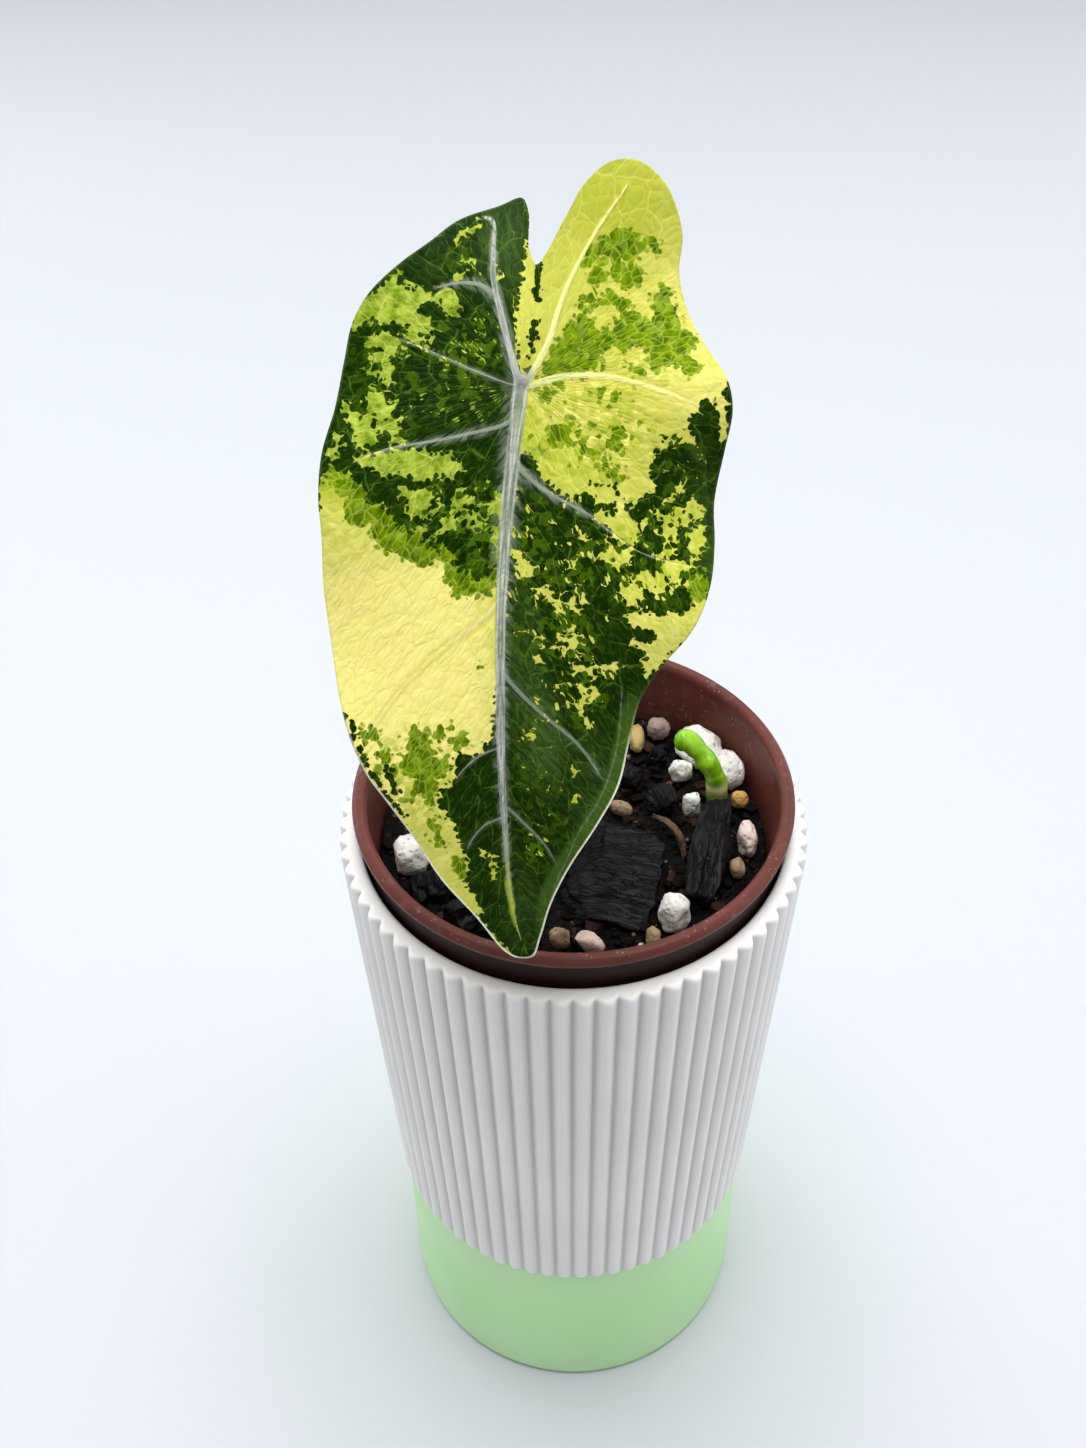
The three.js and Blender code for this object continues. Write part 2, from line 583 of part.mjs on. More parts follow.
// The whole object.
const white = { color: 0xd9d5d4, roughness: 0.55, metalness: 0 };
const mint = { color: 0x9ccb8c, roughness: 0.5, metalness: 0 };
const brown = { color: 0x5d3832, roughness: 0.4, metalness: 0 };
const soil = { color: 0x17120f, roughness: 0.95, metalness: 0 };
const coal = { color: 0x1c1c1e, roughness: 0.75, metalness: 0 };
const chalk = { color: 0xd8d3ca, roughness: 0.95, metalness: 0 };
const tan = { color: 0xa58866, roughness: 0.9, metalness: 0 };
const leafGreen = { color: 0x5f8a1e, roughness: 0.35, metalness: 0 };
const stemGreen = { color: 0x6d9440, roughness: 0.45, metalness: 0 };
const shootGreen = { color: 0x86bd12, roughness: 0.4, metalness: 0 };
const bark = { color: 0x54402c, roughness: 0.85, metalness: 0 };

const plant = new THREE.Group();
plant.add(meshOf("base_cup", baseCup(), mint));
plant.add(meshOf("ribbed_sleeve", ribbedSleeve(), white));
plant.add(meshOf("nursery_pot", nurseryPot(), brown));
plant.add(meshOf("leaf_blade", leafBlade(), leafGreen));
plant.add(meshOf("petiole", petiole(), stemGreen));
plant.add(meshOf("rootstock", rootstock(), bark));
plant.add(meshOf("new_shoot", newShoot(), shootGreen));
charcoals.forEach((spec, i) => plant.add(meshOf(`charcoal_${i + 1}`, block(spec), coal)));
pumices.forEach((spec, i) => plant.add(meshOf(`pumice_${i + 1}`, pumice(spec, 0), chalk)));
plant.add(meshOf("bark_strip", tapered(barkCurve, 8, 7, barkRadiusAt), bark));
pebbles.forEach((spec, i) => plant.add(meshOf(`pebble_${i + 1}`, pebble(spec, 0), tan)));

const shootHole = tapered(shootCurve, 12, 9, (t) => shootRadiusAt(t) + holeClearance).add(
  solid(new THREE.IcosahedronGeometry(2 + holeClearance, 1).translate(31.1, 9.3, 156.8)),
);
const bedded = [
  rootstockHole(),
  shootHole,
  tapered(barkCurve, 8, 7, (t) => barkRadiusAt(t) + holeClearance),
  ...charcoals.map((spec) => block(spec, holeClearance)),
  ...pumices.map((spec) => pumice(spec, holeClearance)),
  ...pebbles.map((spec) => pebble(spec, holeClearance)),
];
plant.add(meshOf("potting_mix", pottingMix(bedded), soil));

export default plant;
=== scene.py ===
import logging
import math
from collections.abc import Callable, Sequence
from dataclasses import dataclass, field
from enum import Enum

import bpy
import numpy as np
from mathutils import Matrix


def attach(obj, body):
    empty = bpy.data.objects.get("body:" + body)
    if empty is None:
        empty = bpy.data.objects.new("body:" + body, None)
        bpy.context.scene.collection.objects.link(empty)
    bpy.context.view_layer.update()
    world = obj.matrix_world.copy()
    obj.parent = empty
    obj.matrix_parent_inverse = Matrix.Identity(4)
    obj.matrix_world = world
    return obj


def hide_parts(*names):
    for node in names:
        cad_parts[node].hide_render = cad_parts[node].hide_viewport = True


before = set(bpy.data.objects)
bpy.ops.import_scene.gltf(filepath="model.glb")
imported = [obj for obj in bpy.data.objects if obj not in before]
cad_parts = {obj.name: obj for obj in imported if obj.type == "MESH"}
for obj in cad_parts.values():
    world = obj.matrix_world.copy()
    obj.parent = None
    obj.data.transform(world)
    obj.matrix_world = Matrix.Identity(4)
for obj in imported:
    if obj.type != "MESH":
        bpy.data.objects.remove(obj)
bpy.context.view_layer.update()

# The look of a young variegated alocasia in its nursery pot and ribbed planter.
# Every size is in millimetres until a mesh is made, and the axes are those of the frame.

log = logging.getLogger("plant")

Array = np.ndarray
Colour = tuple[float, float, float, float]
Place = tuple[float, float, float]
Flat = tuple[tuple[float, float], ...]
Outline = tuple[float, ...]
Zones = tuple[tuple[float, float, float, float, float], ...]
Socket = bpy.types.NodeSocket
MM = 0.001


def tone(red: int, green: int, blue: int) -> Colour:
    """A colour seen on a screen, as the linear colour that a shader takes.

    Each channel c of 0 to 255 becomes ((c / 255 + 0.055) / 1.055) to the power 2.4.

    Args:
        red: Red, 0 to 255.
        green: Green, 0 to 255.
        blue: Blue, 0 to 255.

    Returns:
        The linear red, green, blue and an alpha of 1.
    """
    seen = np.array([red, green, blue]) / 255
    linear = np.where(seen <= 0.04045, seen / 12.92, ((seen + 0.055) / 1.055) ** 2.4)
    return (float(linear[0]), float(linear[1]), float(linear[2]), 1.0)


# Fields and noise


def ease(value: Array, low: float, high: float) -> Array:
    """A soft step from 0 to 1: t*t*(3-2t), where t goes from 0 at low to 1 at high."""
    t = np.clip((value - low) / (high - low), 0, 1)
    return t * t * (3 - 2 * t)


def lattice_noise(points: Array, size: float, seed: int) -> Array:
    """Random numbers on the corners of a cubic lattice, blended inside each cube by soft steps.

    Args:
        points: Places, shape (n, 3).
        size: Edge of a lattice cube.
        seed: Chooses the random numbers.

    Returns:
        Numbers from -1 to 1, shape (n,).
    """
    q = points / size
    cell = np.floor(q).astype(np.int64)
    f = q - cell
    f = f * f * (3 - 2 * f)
    total = np.zeros(len(points))
    for corner in np.ndindex(2, 2, 2):
        c = cell + np.array(corner)
        h = (c[:, 0] * 73856093) ^ (c[:, 1] * 19349663) ^ (c[:, 2] * 83492791) ^ (seed * 26544357)
        h = (h ^ (h >> 13)) * 1274126177 & 0x7FFFFFFF
        h = (h ^ (h >> 15)) * 668265263 & 0x7FFFFFFF
        weight = np.prod(np.where(np.array(corner) == 1, f, 1 - f), axis=1)
        total += weight * (h / 0x7FFFFFFF * 2 - 1)
    return total


def layered_noise(points: Array, size: float, layers: int, seed: int) -> Array:
    """Lattice noise in layers, each half as coarse and half as strong as the one before it."""
    sheets = [lattice_noise(points, size / 2**k, seed + 17 * k) / 2**k for k in range(layers)]
    return np.sum(sheets, axis=0) / (2 - 2 ** (1 - layers))


def smooth_curve(points: Sequence[Sequence[float]], count: int, closed: bool = False) -> Array:
    """A curve through the given points, by Catmull and Rom's rule with root-length spacing.

    From b to c, between a and d, a cubic joins the tangents (b-a)/p - (c-a)/(p+q) + (c-b)/q and
    (c-b)/q - (d-b)/(q+r) + (d-c)/r, both times q, where p, q and r are the roots of the distances.

    Args:
        points: The points to pass through, in two or three dimensions.
        count: How many points to give back.
        closed: Whether the curve closes on itself.

    Returns:
        The curve, shape (count, dimensions).
    """
    given = np.array(points, float)
    if closed:
        wide = np.vstack([given[-1:], given, given[:2]])
        at = np.arange(count) * len(given) / count
    else:
        wide = np.vstack([2 * given[0] - given[1], given, 2 * given[-1] - given[-2]])
        at = np.linspace(0, len(given) - 1, count)
    k = np.minimum(at.astype(int), len(wide) - 4)
    t = (at - k)[:, None]
    a, b, c, d = wide[k], wide[k + 1], wide[k + 2], wide[k + 3]
    p, q, r = (np.sqrt(np.linalg.norm(v - u, axis=1, keepdims=True)) + 1e-9 for u, v in ((a, b), (b, c), (c, d)))
    start = ((b - a) / p - (c - a) / (p + q) + (c - b) / q) * q
    end = ((c - b) / q - (d - b) / (q + r) + (d - c) / r) * q
    return b + start * t + (3 * (c - b) - 2 * start - end) * t**2 + (2 * (b - c) + start + end) * t**3


def to_line(points: Array, line: Array) -> tuple[Array, Array, Array]:
    """How far flat points are from a line of straight stretches.

    The foot of the perpendicular is kept within each stretch, and the nearest stretch wins.

    Args:
        points: Flat places, shape (n, 2).
        line: The line's points, shape (m, 2).

    Returns:
        The distance, the distance with a sign that tells the side, and how far along the line, 0 to 1.
    """
    a, b = line[:-1], line[1:]
    step = b - a
    away = points[:, None, :] - a[None]
    share = np.clip((away * step).sum(2) / ((step**2).sum(1) + 1e-12), 0, 1)
    gap = away - share[..., None] * step
    reach = np.hypot(gap[..., 0], gap[..., 1])
    best = reach.argmin(1)
    rows = np.arange(len(points))
    cross = step[best, 0] * away[rows, best, 1] - step[best, 1] * away[rows, best, 0]
    near = reach[rows, best]
    return near, np.where(cross < 0, -near, near), (best + share[rows, best]) / len(step)


def inside(points: Array, outline: Array) -> Array:
    """Distance to a closed flat outline, positive inside it.

    A point is inside when a ray from it crosses the outline an odd number of times.

    Args:
        points: Flat places, shape (n, 2).
        outline: The outline's corners, shape (m, 2).

    Returns:
        The signed distance, shape (n,).
    """
    ring = np.vstack([outline, outline[:1]])
    near = to_line(points, ring)[0]
    x, y = points[:, :1], points[:, 1:]
    a, b = ring[:-1], ring[1:]
    spans = (a[:, 1] > y) != (b[:, 1] > y)
    crossing = a[:, 0] + (y - a[:, 1]) * (b[:, 0] - a[:, 0]) / (b[:, 1] - a[:, 1] + 1e-12)
    odd = (spans & (x < crossing)).sum(1) % 2 == 1
    return np.where(odd, near, -near)


# Meshes


@dataclass
class Form:
    """Points and faces of one closed or open surface, in millimetres."""

    points: Array
    faces: list[Array] = field(default_factory=list)

    def joined(self, other: "Form") -> "Form":
        """This form and another as one."""
        shifted = [f + len(self.points) for f in other.faces]
        return Form(np.vstack([self.points, other.points]), self.faces + shifted)


def wrapped(rings: int, columns: int, start: int = 0) -> Array:
    """Four-sided faces between closed rings: (r, c), (r, c+1), (r+1, c+1) and (r+1, c), with c+1 taken round.

    Args:
        rings: Number of rings.
        columns: Points in a ring.
        start: Number of the first ring's first point.

    Returns:
        The faces, shape ((rings - 1) * columns, 4).
    """
    r, c = np.meshgrid(np.arange(rings - 1), np.arange(columns), indexing="ij")
    n = (c + 1) % columns
    faces = np.stack([r * columns + c, r * columns + n, (r + 1) * columns + n, (r + 1) * columns + c], -1)
    return faces.reshape(-1, 4) + start


def fan(centre: int, first: int, columns: int, flip: bool) -> Array:
    """Three-sided faces from one point to a closed ring.

    Args:
        centre: Number of the one point.
        first: Number of the ring's first point.
        columns: Points in the ring.
        flip: Whether to turn the faces round.

    Returns:
        The faces, shape (columns, 3).
    """
    c = np.arange(columns)
    n = (c + 1) % columns
    sides = (first + n, first + c) if flip else (first + c, first + n)
    return np.stack([np.full(columns, centre), *sides], -1)


def rounded(profile: Sequence[Place], steps: int = 5) -> Array:
    """A profile whose corners are rounded.

    Each corner's two cut points and itself make a curve (1-t)^2 p + 2t(1-t) q + t^2 r.

    Args:
        profile: Corners as (radius, height, size of the rounding).
        steps: Points on each rounding.

    Returns:
        The profile, shape (n, 2).
    """
    corners = np.array([c[:2] for c in profile], float)
    sizes = np.array([c[2] for c in profile], float)
    out = [corners[:1]]
    t = np.linspace(0, 1, steps)[:, None]
    for before, here, after, size in zip(corners[:-2], corners[1:-1], corners[2:], sizes[1:-1]):
        to_before, to_after = before - here, after - here
        reach = min(size, 0.49 * np.linalg.norm(to_before), 0.49 * np.linalg.norm(to_after))
        if reach < 1e-6:
            out.append(here[None])
            continue
        p = here + to_before / np.linalg.norm(to_before) * reach
        r = here + to_after / np.linalg.norm(to_after) * reach
        out.append((1 - t) ** 2 * p + 2 * t * (1 - t) * here + t**2 * r)
    out.append(corners[-1:])
    return np.vstack(out)


def turned(profile: Array, columns: int, radius_change: Callable[[Array, Array], Array] | None = None) -> Form:
    """A profile turned about the upright axis: x = r sin a, y = -r cos a, z = height.

    The profile starts and ends on the axis, and runs so that the solid is on its left.

    Args:
        profile: Radius and height, shape (n, 2), with radius 0 at both ends.
        columns: Points round the axis.
        radius_change: Gives what to add to each radius, from the angles and the profile rows.

    Returns:
        The closed form.
    """
    angle = np.arange(columns) / columns * 2 * np.pi
    body = profile[1:-1]
    radius = np.repeat(body[:, :1], columns, axis=1)
    if radius_change is not None:
        radius = radius + radius_change(angle[None, :], body)
    height = np.repeat(body[:, 1:2], columns, axis=1)
    grid = np.stack([radius * np.sin(angle), -radius * np.cos(angle), height], -1).reshape(-1, 3)
    ends = np.array([[0, 0, profile[0, 1]], [0, 0, profile[-1, 1]]])
    count = len(grid)
    faces = [
        wrapped(len(body), columns),
        fan(count, 0, columns, True),
        fan(count + 1, count - columns, columns, False),
    ]
    return Form(np.vstack([grid, ends]), faces)


def carried(path: Array, radii: Array, sides: int, across: Place) -> Form:
    """A round section carried along a path.

    With T the tangent, N = T x across and B = T x N, its points are path + radius (N cos a + B sin a).

    Args:
        path: The middle line, shape (n, 3).
        radii: Radius at each point, shape (n,) or (n, sides).
        sides: Points round the section.
        across: A direction that the path never follows.

    Returns:
        The form, closed by a fan at each end.
    """
    tangent = np.gradient(path, axis=0)
    tangent /= np.linalg.norm(tangent, axis=1, keepdims=True)
    normal = np.cross(tangent, np.array(across))
    normal /= np.linalg.norm(normal, axis=1, keepdims=True)
    other = np.cross(tangent, normal)
    angle = np.arange(sides) / sides * 2 * np.pi
    wide = radii.reshape(len(path), -1, 1) * np.ones((1, sides, 1))
    ring = normal[:, None] * np.cos(angle)[None, :, None] + other[:, None] * np.sin(angle)[None, :, None]
    grid = (path[:, None] + wide * ring).reshape(-1, 3)
    count = len(grid)
    faces = [
        wrapped(len(path), sides),
        fan(count, 0, sides, True),
        fan(count + 1, count - sides, sides, False),
    ]
    return Form(np.vstack([grid, path[:1], path[-1:]]), faces)


def ball(rows: int, columns: int) -> Form:
    """Unit directions over a ball: (cos b sin a, -cos b cos a, sin b), closed at both poles.

    Args:
        rows: Rings from pole to pole.
        columns: Points in a ring.

    Returns:
        The ball, of radius 1.
    """
    tilt = np.linspace(-np.pi / 2, np.pi / 2, rows + 2)
    profile = np.stack([np.cos(tilt), np.sin(tilt)], -1)
    profile[[0, -1], 0] = 0
    return turned(profile, columns)


def spun(points: Array, tilt: float, turn: float) -> Array:
    """Points tilted about X and then turned about Z, by degrees."""
    both = Matrix.Rotation(math.radians(turn), 3, "Z") @ Matrix.Rotation(math.radians(tilt), 3, "X")
    return points @ np.array(both).T


def piece(
    name: str,
    form: Form,
    materials: Sequence[bpy.types.Material],
    fields: dict[str, Array] | None = None,
    choice: Array | None = None,
    sharp: float = 60.0,
) -> bpy.types.Object:
    """Puts a form into a new object at the origin, in metres.

    Args:
        name: The object's name.
        form: Points and faces in millimetres.
        materials: Its materials.
        fields: Numbers or vectors kept on the points, by name.
        choice: Which material each face has.
        sharp: Degrees past which an edge is drawn sharp.

    Returns:
        The object.
    """
    mesh = bpy.data.meshes.new(name)
    corners = np.concatenate([f.ravel() for f in form.faces]).astype(np.int32)
    sizes = np.concatenate([np.full(len(f), f.shape[1]) for f in form.faces])
    starts = np.concatenate([[0], np.cumsum(sizes)[:-1]]).astype(np.int32)
    mesh.vertices.add(len(form.points))
    mesh.vertices.foreach_set("co", (form.points * MM).astype(np.float32).ravel())
    mesh.loops.add(len(corners))
    mesh.loops.foreach_set("vertex_index", corners)
    mesh.polygons.add(len(sizes))
    mesh.polygons.foreach_set("loop_start", starts)
    mesh.polygons.foreach_set("use_smooth", np.ones(len(sizes), bool))
    if choice is not None:
        mesh.polygons.foreach_set("material_index", choice.astype(np.int32))
    mesh.update(calc_edges=True)
    mesh.set_sharp_from_angle(angle=math.radians(sharp))
    for key, values in (fields or {}).items():
        kind = "FLOAT" if values.ndim == 1 else "FLOAT_VECTOR"
        layer = mesh.attributes.new(key, kind, "POINT")
        layer.data.foreach_set("value" if values.ndim == 1 else "vector", values.astype(np.float32).ravel())
    for material in materials:
        mesh.materials.append(material)
    made = bpy.data.objects.new(name, mesh)
    bpy.context.scene.collection.objects.link(made)
    log.info("%s: %d faces", name, len(sizes))
    return made


def stands_for(made: bpy.types.Object, slot: str, *nodes: str) -> bpy.types.Object:
    """Lets a piece ride on the part and stand for solids.

    Args:
        made: The piece.
        slot: The record's material slot; not used.
        *nodes: Names of the solids that it replaces.

    Returns:
        The piece.
    """
    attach(made, "root")
    if nodes:
        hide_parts(*nodes)
    return made


# Materials


class Board:
    """A material's nodes, with short ways to add and join them."""

    def __init__(self, name: str) -> None:
        """Starts a material with one shader.

        Args:
            name: The material's name.
        """
        self.material = bpy.data.materials.new(name)
        self.material.use_nodes = True
        self.tree = self.material.node_tree
        self.shader = self.tree.nodes["Principled BSDF"]

    def put(self, socket: Socket, value: object) -> None:
        """Joins a socket to another, or sets its value.

        Args:
            socket: The socket.
            value: What goes into it.
        """
        if isinstance(value, bpy.types.NodeSocket):
            self.tree.links.new(value, socket)
        else:
            socket.default_value = value

    def node(self, kind: str, inputs: dict[str | int, object] | None = None, **settings: object) -> bpy.types.Node:
        """Adds a node.

        Args:
            kind: The node's type.
            inputs: What goes into its sockets, by name or number.
            **settings: Its own settings.

        Returns:
            The node.
        """
        made = self.tree.nodes.new(kind)
        for key, value in settings.items():
            setattr(made, key, value)
        for key, value in (inputs or {}).items():
            self.put(made.inputs[key], value)
        return made

    def sum(self, kind: str, a: object, b: object = 0.0, c: object = 0.0, clamp: bool = False) -> Socket:
        """Arithmetic on up to three numbers, kept within 0 to 1 if clamped."""
        return self.node("ShaderNodeMath", {0: a, 1: b, 2: c}, operation=kind, use_clamp=clamp).outputs[0]

    def plus(self, a: object, b: object) -> Socket:
        """One number added to another."""
        return self.sum("ADD", a, b)

    def minus(self, a: object, b: object) -> Socket:
        """One number less another."""
        return self.sum("SUBTRACT", a, b)

    def times(self, a: object, b: object) -> Socket:
        """One number times another."""
        return self.sum("MULTIPLY", a, b)

    def vector(self, kind: str, a: object, b: object) -> Socket:
        """Arithmetic on two vectors."""
        return self.node("ShaderNodeVectorMath", {0: a, 1: b}, operation=kind).outputs[0]

    def step(self, value: object, low: float, high: float, to: tuple[float, float] = (0.0, 1.0)) -> Socket:
        """A number mapped softly from the range low to high onto the range to."""
        ranges = {"Value": value, "From Min": low, "From Max": high, "To Min": to[0], "To Max": to[1]}
        return self.node("ShaderNodeMapRange", ranges, interpolation_type="SMOOTHSTEP").outputs[0]

    def blend(self, share: object, a: object, b: object, kind: str = "MIX") -> Socket:
        """Two colours mixed, with a share of 0 to 1 of the second."""
        return self.node("ShaderNodeMix", {0: share, 6: a, 7: b}, data_type="RGBA", blend_type=kind).outputs[2]

    def kept(self, name: str, what: str = "Fac") -> Socket:
        """What the mesh keeps on its points under a name, as a number or as a vector."""
        return self.node("ShaderNodeAttribute", attribute_name=name, attribute_type="GEOMETRY").outputs[what]

    def place(self, scale: Place = (1, 1, 1)) -> Socket:
        """The piece's own coordinates in metres, scaled along each axis."""
        own = self.node("ShaderNodeTexCoord").outputs["Object"]
        return self.node("ShaderNodeMapping", {"Vector": own, "Scale": scale}).outputs[0]

    def noise(self, where: object, scale: float, detail: float = 3.0, rough: float = 0.5) -> Socket:
        """Cloudy noise of a fineness, a number of layers and a strength of the finer ones."""
        inputs = {"Vector": where, "Scale": scale, "Detail": detail, "Roughness": rough}
        return self.node("ShaderNodeTexNoise", inputs).outputs[0]

    def cells(self, where: object, scale: float, feature: str = "F1", flat: bool = False) -> bpy.types.Node:
        """Cells round scattered points of a fineness, in space or in a plane, with a feature to measure."""
        settings = {"feature": feature, "voronoi_dimensions": "2D" if flat else "3D"}
        return self.node("ShaderNodeTexVoronoi", {"Vector": where, "Scale": scale}, **settings)

    def bump(self, height: object, depth: float, strength: float = 1.0, under: Socket | None = None) -> Socket:
        """A relief drawn by shading.

        Args:
            height: The relief, 0 to 1.
            depth: Its depth in metres.
            strength: How much of it shows.
            under: A relief to add it to.

        Returns:
            The normal.
        """
        inputs: dict[str | int, object] = {"Height": height, "Distance": depth, "Strength": strength}
        if under is not None:
            inputs["Normal"] = under
        return self.node("ShaderNodeBump", inputs).outputs[0]

    def finish(self, colour: object, rough: object, normal: object | None = None, **more: object) -> bpy.types.Material:
        """Fills the shader.

        Args:
            colour: Base colour.
            rough: Roughness.
            normal: The relief.
            **more: Other sockets, with underscores for spaces.

        Returns:
            The material.
        """
        self.put(self.shader.inputs["Base Color"], colour)
        self.put(self.shader.inputs["Roughness"], rough)
        if normal is not None:
            self.put(self.shader.inputs["Normal"], normal)
        for key, value in more.items():
            self.put(self.shader.inputs[key.replace("_", " ")], value)
        return self.material


@dataclass(frozen=True)
class MouldedPlastic:
    """Satin moulded plastic with a faint grain, soft blotches, a few specks of dust, and painted shade where a field of
    the mesh says.
    """

    name: str
    colour: Colour
    shade: Colour
    rough: float = 0.5
    grain: float = 0.00004
    dust: float = 0.0
    dust_colour: Colour = (0.7, 0.7, 0.68, 1.0)
    painted_shade_field: str = ""
    painted_shade_colour: Colour = tone(20, 9, 6)
    painted_shade_share: float = 0.9
    shine: float = 0.5

    def build(self) -> bpy.types.Material:
        """Makes the material: two tones mixed by wide noise, fine grain, dust where cells are rare, and painted shade
        by a field of the mesh.

        Returns:
            The material.
        """
        board = Board(self.name)
        own = board.place()
        wide = board.noise(own, 28, 3)
        colour = board.blend(board.step(wide, 0.35, 0.7), self.colour, self.shade)
        if self.dust > 0:
            speck = board.cells(own, 900)
            rare = board.sum("GREATER_THAN", board.noise(own, 160, 2), 1 - self.dust)
            small = board.step(speck.outputs["Distance"], 0.3, 0.12, (0.0, 0.4))
            colour = board.blend(board.times(rare, small), colour, self.dust_colour)
            film = board.step(board.noise(own, 340, 5, 0.7), 0.5, 0.75, (0.0, 0.16))
            colour = board.blend(film, colour, self.dust_colour)
        # painted shade: where the named field of the mesh is high, the colour is darkened towards the shade colour
        if self.painted_shade_field:
            painted_shade = board.times(board.kept(self.painted_shade_field), self.painted_shade_share)
            colour = board.blend(painted_shade, colour, self.painted_shade_colour)
        fine = board.noise(own, 900, 2)
        rough = board.step(wide, 0.2, 0.8, (self.rough - 0.05, self.rough + 0.07))
        return board.finish(colour, rough, board.bump(fine, self.grain, 0.35), Specular_IOR_Level=self.shine)


@dataclass(frozen=True)
class BrokenCharcoal:
    """Black charcoal: a long grain with fine splits, and a dull bloom on the ridges between its creases, which leaves
    painted shade in the creases.
    """

    name: str = "charcoal"
    deep: Colour = tone(3, 3, 4)
    bloom_and_painted_shade: Colour = tone(16, 16, 19)

    def build(self) -> bpy.types.Material:
        """Makes the material: noise stretched along the grain for splits, bloom on its ridges, and painted shade in its
        creases and splits.

        Returns:
            The material.
        """
        board = Board(self.name)
        grain = board.kept("grain", "Vector")
        along = board.node("ShaderNodeMapping", {"Vector": grain, "Scale": (0.2, 1.0, 1.0)}).outputs[0]
        height = board.kept("height")
        fibre = board.noise(along, 0.55, 5, 0.52)
        split = board.noise(along, 0.7, 3)
        crack = board.step(board.sum("ABSOLUTE", board.minus(split, 0.5)), 0.0, 0.035)
        # painted shade: only the ridges take the bloom, so the creases stay near black
        bloom_and_painted_shade = board.times(board.step(fibre, 0.38, 0.7), board.step(height, 0.15, 0.75))
        colour = board.blend(bloom_and_painted_shade, self.deep, self.bloom_and_painted_shade)
        # painted shade in the splits
        colour = board.blend(crack, tone(5, 5, 5), colour)
        relief = board.times(fibre, board.sum("MULTIPLY_ADD", crack, 0.6, 0.4))
        rough = board.step(fibre, 0.3, 0.7, (0.6, 0.34))
        return board.finish(colour, rough, board.bump(relief, 0.0009, 1.0), Specular_IOR_Level=0.16)


@dataclass(frozen=True)
class Grit:
    """Stone or grit: a chalky or grainy skin with stains, and pores darkened by painted shade."""

    name: str
    pale: Colour
    stain_and_pore_shade: Colour
    pore: float = 900.0
    rough: float = 0.9

    def build(self) -> bpy.types.Material:
        """Makes the material: pale skin, stains by wide noise, dark pores of painted shade where small cells meet fine
        noise.

        Returns:
            The material.
        """
        board = Board(self.name)
        own = board.place()
        wide = board.noise(own, 260, 4, 0.6)
        pores = board.cells(own, self.pore)
        pit = board.step(pores.outputs["Distance"], 0.42, 0.12)
        pit = board.times(pit, board.step(board.noise(own, 700, 2), 0.45, 0.6))
        colour = board.blend(board.step(wide, 0.5, 0.75), self.pale, self.stain_and_pore_shade)
        # painted shade: the pores are darkened with the stain colour
        colour = board.blend(board.times(pit, 0.55), colour, self.stain_and_pore_shade)
        relief = board.minus(wide, board.times(pit, 0.8))
        return board.finish(colour, self.rough, board.bump(relief, 0.0004, 0.8))


@dataclass(frozen=True)
class DampMix:
    """Damp dark potting mix: crumbs of black and brown with a slight wet shine."""

    name: str = "potting_mix"

    def build(self) -> bpy.types.Material:
        """Makes the material: a random tone per crumb, from black to brown, over a crumbly relief.

        Returns:
            The material.
        """
        board = Board(self.name)
        own = board.place()
        crumbs = board.cells(own, 900)
        pick = board.node("ShaderNodeSeparateColor", {0: crumbs.outputs["Color"]}).outputs[0]
        brown = board.step(pick, 0.72, 1.0)
        colour = board.blend(brown, tone(5, 4, 4), tone(40, 27, 20))
        relief = board.plus(crumbs.outputs["Distance"], board.noise(own, 2200, 3))
        rough = board.step(pick, 0, 1, (0.5, 0.9))
        return board.finish(colour, rough, board.bump(relief, 0.0009, 0.9), Specular_IOR_Level=0.15)


@dataclass(frozen=True)
class GreenStalk:
    """A waxy stalk: two greens in fine streaks along it, with a paler patch where the mesh says so."""

    name: str
    green: Colour
    light: Colour
    patch: Colour
    rough: float = 0.38

    def build(self) -> bpy.types.Material:
        """Makes the material: streaks by noise squeezed round the stalk, the patch by the kept number.

        Returns:
            The material.
        """
        board = Board(self.name)
        along = board.place((1, 1, 0.12))
        streak = board.noise(along, 900, 3, 0.6)
        blotch = board.noise(board.place(), 180, 3)
        mixed = board.plus(board.times(streak, 0.5), board.times(blotch, 0.5))
        colour = board.blend(board.step(mixed, 0.4, 0.62), self.green, self.light)
        colour = board.blend(board.kept("patch"), colour, self.patch)
        return board.finish(colour, self.rough, board.bump(streak, 0.00012, 0.4))


@dataclass(frozen=True)
class ScatteredCrumbs:
    """Loose crumbs and grains, each with its own tone from black through brown and tan to white."""

    name: str = "grit"

    def build(self) -> bpy.types.Material:
        """Makes the material: the kept number picks black, brown, tan or white, and noise mottles it.

        Returns:
            The material.
        """
        board = Board(self.name)
        pick = board.kept("tone")
        fine = board.noise(board.place(), 1500, 4, 0.65)
        colour = board.blend(board.step(pick, 0.5, 0.64), tone(6, 5, 5), tone(56, 37, 27))
        colour = board.blend(board.step(pick, 0.72, 0.76), colour, tone(120, 92, 64))
        colour = board.blend(board.step(pick, 0.88, 0.9), colour, tone(205, 200, 192))
        colour = board.blend(board.step(fine, 0.42, 0.62, (0.0, 0.55)), colour, tone(24, 18, 15))
        rough = board.step(fine, 0.3, 0.7, (0.55, 0.9))
        return board.finish(colour, rough, board.bump(fine, 0.0004, 0.8), Specular_IOR_Level=0.1)


